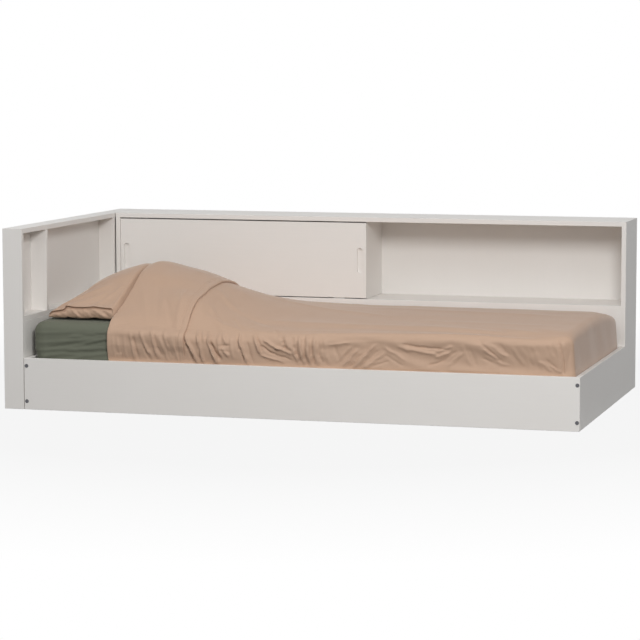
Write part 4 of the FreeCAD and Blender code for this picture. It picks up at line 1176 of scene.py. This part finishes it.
def corner_relief(net, hang):
    """One crease down the front with a soft lap beside it."""
    x, y, z = net[..., 0], net[..., 1], net[..., 2]
    relief = np.zeros_like(x)
    for (column, row), (column_end, row_end) in zip(CORNER_FOLD, CORNER_FOLD[1:]):
        start = seen_at(column, row, front_inside)
        end = seen_at(column_end, row_end, front_inside)
        crease = ridge(x, z, (start.x, start.z), (end.x, end.z), CREASE_WIDTH)
        lap = ridge(x + LAP_BEFORE, z, (start.x, start.z), (end.x, end.z), LAP_WIDTH)
        relief += lap * LAP_HEIGHT - crease * CREASE_DEPTH
    return relief * (y < duvet_middle) * np.clip(hang * 5.0, 0, 1)


print("pleat of", len(CORNER_FOLD) - 1, "stretches")

# %% [markdown]
# ## Let the cloth settle
# Folds laid one by one look drawn. So the form with its folds is run as cloth for twenty
# frames: Blender pushes it out a little from inside, as the filling does, and the front is given
# a few percent more cloth than it has room for, so it buckles between the folds by itself. Its
# tucked edges are held. Only how far each point moved in or out is kept, without the broad
# swelling, and no more than a set limit, so the duvet stays in its place.

# %% Cloth simulation
FRAMES = 20
SLACK = 0.055
PRESSURE = 0.5
CLOTH_SETTINGS = {
    "quality": 6, "mass": 0.15, "tension_stiffness": 15.0, "compression_stiffness": 15.0,
    "shear_stiffness": 5.0, "bending_stiffness": 0.08, "vertex_group_mass": "held",
    "pin_stiffness": 1.0, "vertex_group_shrink": "slack", "shrink_min": 0.0, "shrink_max": -SLACK,
    "use_pressure": True, "uniform_pressure_force": PRESSURE,
}


def add_weights(trial, name, weights):
    group = trial.vertex_groups.new(name=name)
    for number, weight in enumerate(weights.reshape(-1)):
        group.add([number], float(weight), "REPLACE")


def settled(net, held, slack):
    """Where the points of a net come to lie when it is let loose as cloth."""
    scene = bpy.context.scene
    mesh = bpy.data.meshes.new("settling")
    mesh.from_pydata([tuple(point) for point in net.reshape(-1, 3)], [], net_faces(*net.shape[:2]))
    trial = bpy.data.objects.new("settling", mesh)
    scene.collection.objects.link(trial)
    add_weights(trial, "held", held)
    add_weights(trial, "slack", slack)
    modifier = trial.modifiers.new("cloth", "CLOTH")
    for setting, value in CLOTH_SETTINGS.items():
        setattr(modifier.settings, setting, value)
    modifier.settings.effector_weights.gravity = 0.0
    modifier.collision_settings.use_self_collision = False
    modifier.collision_settings.use_collision = False
    modifier.point_cache.frame_start = 1
    modifier.point_cache.frame_end = FRAMES
    for number in range(1, FRAMES + 1):
        scene.frame_set(number)
    shown = trial.evaluated_get(bpy.context.evaluated_depsgraph_get())
    result = np.array([point.co for point in shown.data.vertices]).reshape(net.shape)
    bpy.data.objects.remove(trial)
    bpy.data.meshes.remove(mesh)
    scene.frame_set(1)
    return result


print("cloth runs for", FRAMES, "frames, or not at all in a quick run")

# %% [markdown]
# ## From the cloth back to the net
# The cloth is run on a coarser net, as a fine one takes minutes. Its points are every so many
# rows and columns of the fine net, so what each of them moved can be read off in between. The
# blurred movement is taken away from the movement itself, which leaves the small creases.

# %% What the cloth adds
MOST_MOVEMENT = 0.010
BROAD_STEPS = 7
CLOTH_SPACING = 0.0095


def smoothed(values, steps):
    """A net of values blurred over a number of steps both ways."""
    reach = int(steps * 2.5)
    weights = np.exp(-0.5 * (np.arange(-reach, reach + 1) / steps) ** 2)
    weights /= weights.sum()
    for axis in (0, 1):
        values = np.moveaxis(values, axis, 0)
        padded = np.concatenate([values[:1].repeat(reach, 0), values, values[-1:].repeat(reach, 0)])
        values = sum(weight * padded[number:number + len(values)] for number, weight in enumerate(weights))
        values = np.moveaxis(values, 0, axis)
    return values


def spaced_out(line, spacing):
    """Numbers of the points along a line that are at least a spacing apart, and the last one."""
    run = np.concatenate([[0.0], np.cumsum(np.linalg.norm(np.diff(line, axis=0), axis=1))])
    kept = [0]
    for number in range(1, len(line)):
        if run[number] - run[kept[-1]] >= spacing or number == len(line) - 1:
            kept.append(number)
    return np.array(kept)


def spread_between(values, places, count, axis):
    """Values known at some rows or columns of a net, read off at all of them."""
    values = np.moveaxis(values, axis, 0)
    wanted = np.arange(count)
    flat_values = values.reshape(len(places), -1)
    full = np.stack([np.interp(wanted, places, column) for column in flat_values.T], axis=1)
    return np.moveaxis(full.reshape((count,) + values.shape[1:]), 0, axis)


def crumpled(net, facing, relief, held, slack, reach):
    """The relief after the cloth has settled. The movement counts by its reach, from 0 to 1."""
    rows = spaced_out(net[:, net.shape[1] // 2], CLOTH_SPACING)
    columns = spaced_out(net[net.shape[0] // 2], CLOTH_SPACING)
    pick = np.ix_(rows, columns)
    start = (net + facing * relief[..., None])[pick]
    end = settled(start, held[pick], slack[pick])
    moved = np.sum((end - start) * facing[pick], axis=2)
    moved = moved - smoothed(moved, BROAD_STEPS)
    moved = moved - moved.mean(axis=0, keepdims=True)
    moved = MOST_MOVEMENT * np.tanh(moved / MOST_MOVEMENT) * reach[pick]
    print("cloth of", len(rows), "by", len(columns), "points moved up to",
          round(float(np.abs(moved).max()) * 1000, 1), "mm, on average",
          round(float(np.abs(moved).mean()) * 1000, 2), "mm")
    moved = spread_between(moved, rows, net.shape[0], 0)
    moved = spread_between(moved, columns, net.shape[1], 1)
    return relief + smoothed(moved, 1.0)


print("cloth points about", CLOTH_SPACING * 1000, "mm apart")

# %% [markdown]
# ## The duvet's net
# A sheet dropped on the bed as cloth would find folds of its own, not those of the photograph,
# so the net is laid by formula, and the cloth run only adds to it. The columns of the net go
# across the bed: up the front side, over the top and down the back.
# The rows go along it: first the part that is turned back, from the fold to its hem, then the
# layer that runs from there to the foot panel, and down inside it. Rows and columns are close
# together where the folds, the stitches and the rounded edges are.

# %% Duvet: rows and columns
FOLD_LINE = [(-1.0, 0.0), (-0.6, 0.006), (0.0, 0.0), (1.0, 0.004)]
HEM_LINE = [(-1.0, 0.290), (-0.85, 0.289), (-0.55, 0.292), (-0.2, 0.29), (0.1, 0.291), (1.0, 0.288)]
LIP_RADIUS = 0.0055
# rows before the hem, in metres, with a row at each line of stitches
HEM_ROWS = [0.040, 0.033, 0.029, 0.0265, 0.024, 0.0215, 0.0195,
            0.017, 0.0145, 0.011, 0.0075, 0.004, 0.0015, 0.0]
TURNED_BACK_ROWS = 55
LAYER_STEPS = [(0.0, 0.0033), (0.25, 0.0042), (1.0, 0.0042)]
FOOT_ROWS = 33
foot_edge = foot_inside - FOOT_RADIUS - FOOT_LEAN


def duvet_columns():
    """For each column its place across the top, and how far it has gone down a side."""
    inner = np.concatenate([np.linspace(-1.0, -0.7, 20)[:-1], np.linspace(-0.7, 1.0, 62)])
    front_hang = np.concatenate([np.linspace(0.0, 0.22, 22)[:-1], np.linspace(0.22, 1.0, 40)])[::-1]
    back_hang = np.linspace(0.0, 1.0, 18)
    side = np.concatenate([[-1.0] * (len(front_hang) - 1), inner, [1.0] * (len(back_hang) - 1)])
    hang = np.concatenate([front_hang[:-1], np.zeros(len(inner)), back_hang[1:]])
    return side, hang, len(front_hang) - 1


def duvet_rows(side):
    """For each point its place along the bed and how far it has gone down at the foot."""
    across = np.clip(side, -1, 1)
    fold = duvet_low.x + 0.001 + LIP_RADIUS + through(FOLD_LINE, across)
    hem = duvet_low.x + through(HEM_LINE, across)
    back_part = np.linspace(0.0, 1.0, TURNED_BACK_ROWS + 1)[:-1]
    rows = [fold + (hem - HEM_ROWS[0] - fold) * share for share in back_part]
    rows += [hem - before for before in HEM_ROWS]
    rows += [hem + 0.0005 + (foot_edge - hem - 0.0005) * share for share in steps_between(LAYER_STEPS)]
    foot_steps = np.linspace(0.0, 1.0, FOOT_ROWS + 1)[1:]
    a = np.array(rows + [np.full_like(hem, foot_edge)] * FOOT_ROWS)
    foot = np.zeros_like(a)
    foot[len(rows):] = foot_steps[:, None]
    return a, foot


print("turned-back part of", TURNED_BACK_ROWS + len(HEM_ROWS), "rows")

# %% [markdown]
# ## How far the duvet stands out
# The folds, the bulge of the front and what the cloth adds are summed. Near the rail everything
# fades out, so that the cloth slips into the gap cleanly. Deep folds are stopped softly before
# they reach the sheet, and last come the two rows of stitches along the hem.

# %% Duvet: its whole relief
BULGE_OVER = 0.035
BULGE_FULL_AT = 0.10
FOLD_HELD = 0.8
LEAST_ON_SIDES = -0.0034
LEAST_ON_TOP = -0.008
LEAST_SOFTNESS = 0.0012
STITCH_PLACES = (0.024, 0.017)
STITCH_DEPTH = 0.0016


def above_least(height, least):
    """A height that is softly kept from falling below the least one."""
    return least + np.logaddexp(0.0, (height - least) / LEAST_SOFTNESS) * LEAST_SOFTNESS


def add_stitches(net, relief):
    """Two rows of stitches along the hem, each a thin groove of uneven depth."""
    for number, before in enumerate(HEM_ROWS):
        for place in STITCH_PLACES:
            if abs(before - place) < 0.0012:
                row = TURNED_BACK_ROWS + number
                relief[row] -= STITCH_DEPTH + 0.0012 * noise_over(net[row], 0.012, 41)


def standing_out(net, facing, side, hang, foot, edge_height):
    """How far each point of the duvet stands out from its smooth form."""
    above_rail = net[..., 2] - rail_top
    clear_of_rail = ramp(above_rail, -0.001, 0.008)
    in_front = (side < 0) * (1 - np.clip(foot * 4, 0, 1))
    front_share = np.clip(hang * 6, 0, 1) * in_front
    near_front = np.clip((side + 0.72) / -0.28, 0, 1) * in_front
    gone_down = ramp(edge_height - net[..., 2], 0.0, BULGE_OVER)
    bulge = FRONT_BULGE * gone_down**2 * (3 - 2 * gone_down) * ramp(above_rail, 0.0, BULGE_FULL_AT) ** 0.7
    relief = duvet_relief(net, hang, foot) * clear_of_rail + bulge * (hang > 0) * in_front
    held = 1.0 - clear_of_rail
    held[0] = FOLD_HELD
    slack = np.clip(0.05 + front_share * 0.95, 0, 1) * clear_of_rail
    reach = np.clip(near_front + front_share, 0, 1) * 0.9 + 0.1
    reach *= 1.0 - 0.75 * ramp(net[..., 0], 0.86, 0.10)
    relief = crumpled(net, facing, relief, held, slack, reach)
    relief = (relief + corner_relief(net, hang)) * clear_of_rail
    deeper = 0.02 * ramp(above_rail, 0.10, 0.05) * np.clip(side * -9, 0, 1)
    least = np.where(foot + hang > 0, LEAST_ON_SIDES - deeper, LEAST_ON_TOP)
    relief = above_least(relief, least)
    add_stitches(net, relief)
    return relief


print("hem with", len(STITCH_PLACES), "rows of stitches")

# %% [markdown]
# ## The turned edge, the hem and the piece
# At the fold the cloth turns round a small radius and runs on inside, out of sight. The turned
# back part lies one layer over the other, and its hem is a half round that ends on it. All these
# rows and the lower layer make one net, and faces that would lie past the corner of the foot end
# are left out.

# %% Duvet
FOLD_TURN = (178, 160, 135, 110, 85, 60, 35, 15)
HEM_TURN = (25, 50, 75, 100, 125, 150, 172)
HIDDEN_REACH = (0.05, 0.02)


def turned_edge(line, forward, facing, radius, seat, degrees):
    """A line of points moved round an edge: forward, and down from where it faces."""
    angle = math.radians(degrees)
    return line + forward * radius * math.sin(angle) - facing * radius * (1 - math.cos(angle)) * seat


def with_turned_back_part(lower, facing, seat, count):
    """All rows of the duvet, with its first rows as an upper layer that has a fold and a hem."""
    upper = lower[:count] + facing[:count] * LAYER * seat[:count]
    forward = np.gradient(upper, axis=0)
    forward /= np.maximum(np.linalg.norm(forward, axis=2, keepdims=True), 1e-9)
    lip = [turned_edge(upper[0], -forward[0], facing[0], LIP_RADIUS, seat[0], degrees)
           for degrees in FOLD_TURN]
    hidden = [lip[0] + forward[0] * inside for inside in HIDDEN_REACH]
    hem_turn = [turned_edge(upper[-1], forward[-1], facing[count - 1], LAYER / 2, seat[count - 1], degrees)
                for degrees in HEM_TURN]
    return np.concatenate([np.array(hidden + lip), upper, np.array(hem_turn), lower[count:]])


def make_duvet():
    side, hang, top_edge = duvet_columns()
    a, foot = duvet_rows(side)
    side = np.broadcast_to(side, a.shape)
    hang = np.broadcast_to(hang, a.shape)
    net = duvet_form(a, side, hang, foot)
    facing = net_normals(net)
    edge_height = net[:, top_edge, 2][:, None]
    lower = net + facing * standing_out(net, facing, side, hang, foot, edge_height)[..., None]
    seat = ramp(net[..., 2] - rail_top, 0.01, 0.05)[..., None]
    whole = with_turned_back_part(lower, facing, seat, TURNED_BACK_ROWS + len(HEM_ROWS))
    extra = len(whole) - len(net)
    first_rows = np.zeros((extra, a.shape[1]))
    past = np.hypot(np.concatenate([first_rows, foot]), np.concatenate([first_rows, hang]))
    kept = (past <= 1.0).reshape(-1)
    points = whole.reshape(-1, 3)
    faces = [face for face in net_faces(*whole.shape[:2])
             if kept[list(face)].any() or points[list(face), 0].max() < foot_edge]
    points, faces = trimmed(points, faces)
    made = soft_piece("duvet_cover", points, faces, tan_cotton)
    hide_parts("duvet")
    return made


duvet_cover = make_duvet()
print("duvet", len(duvet_cover.data.polygons), "faces")
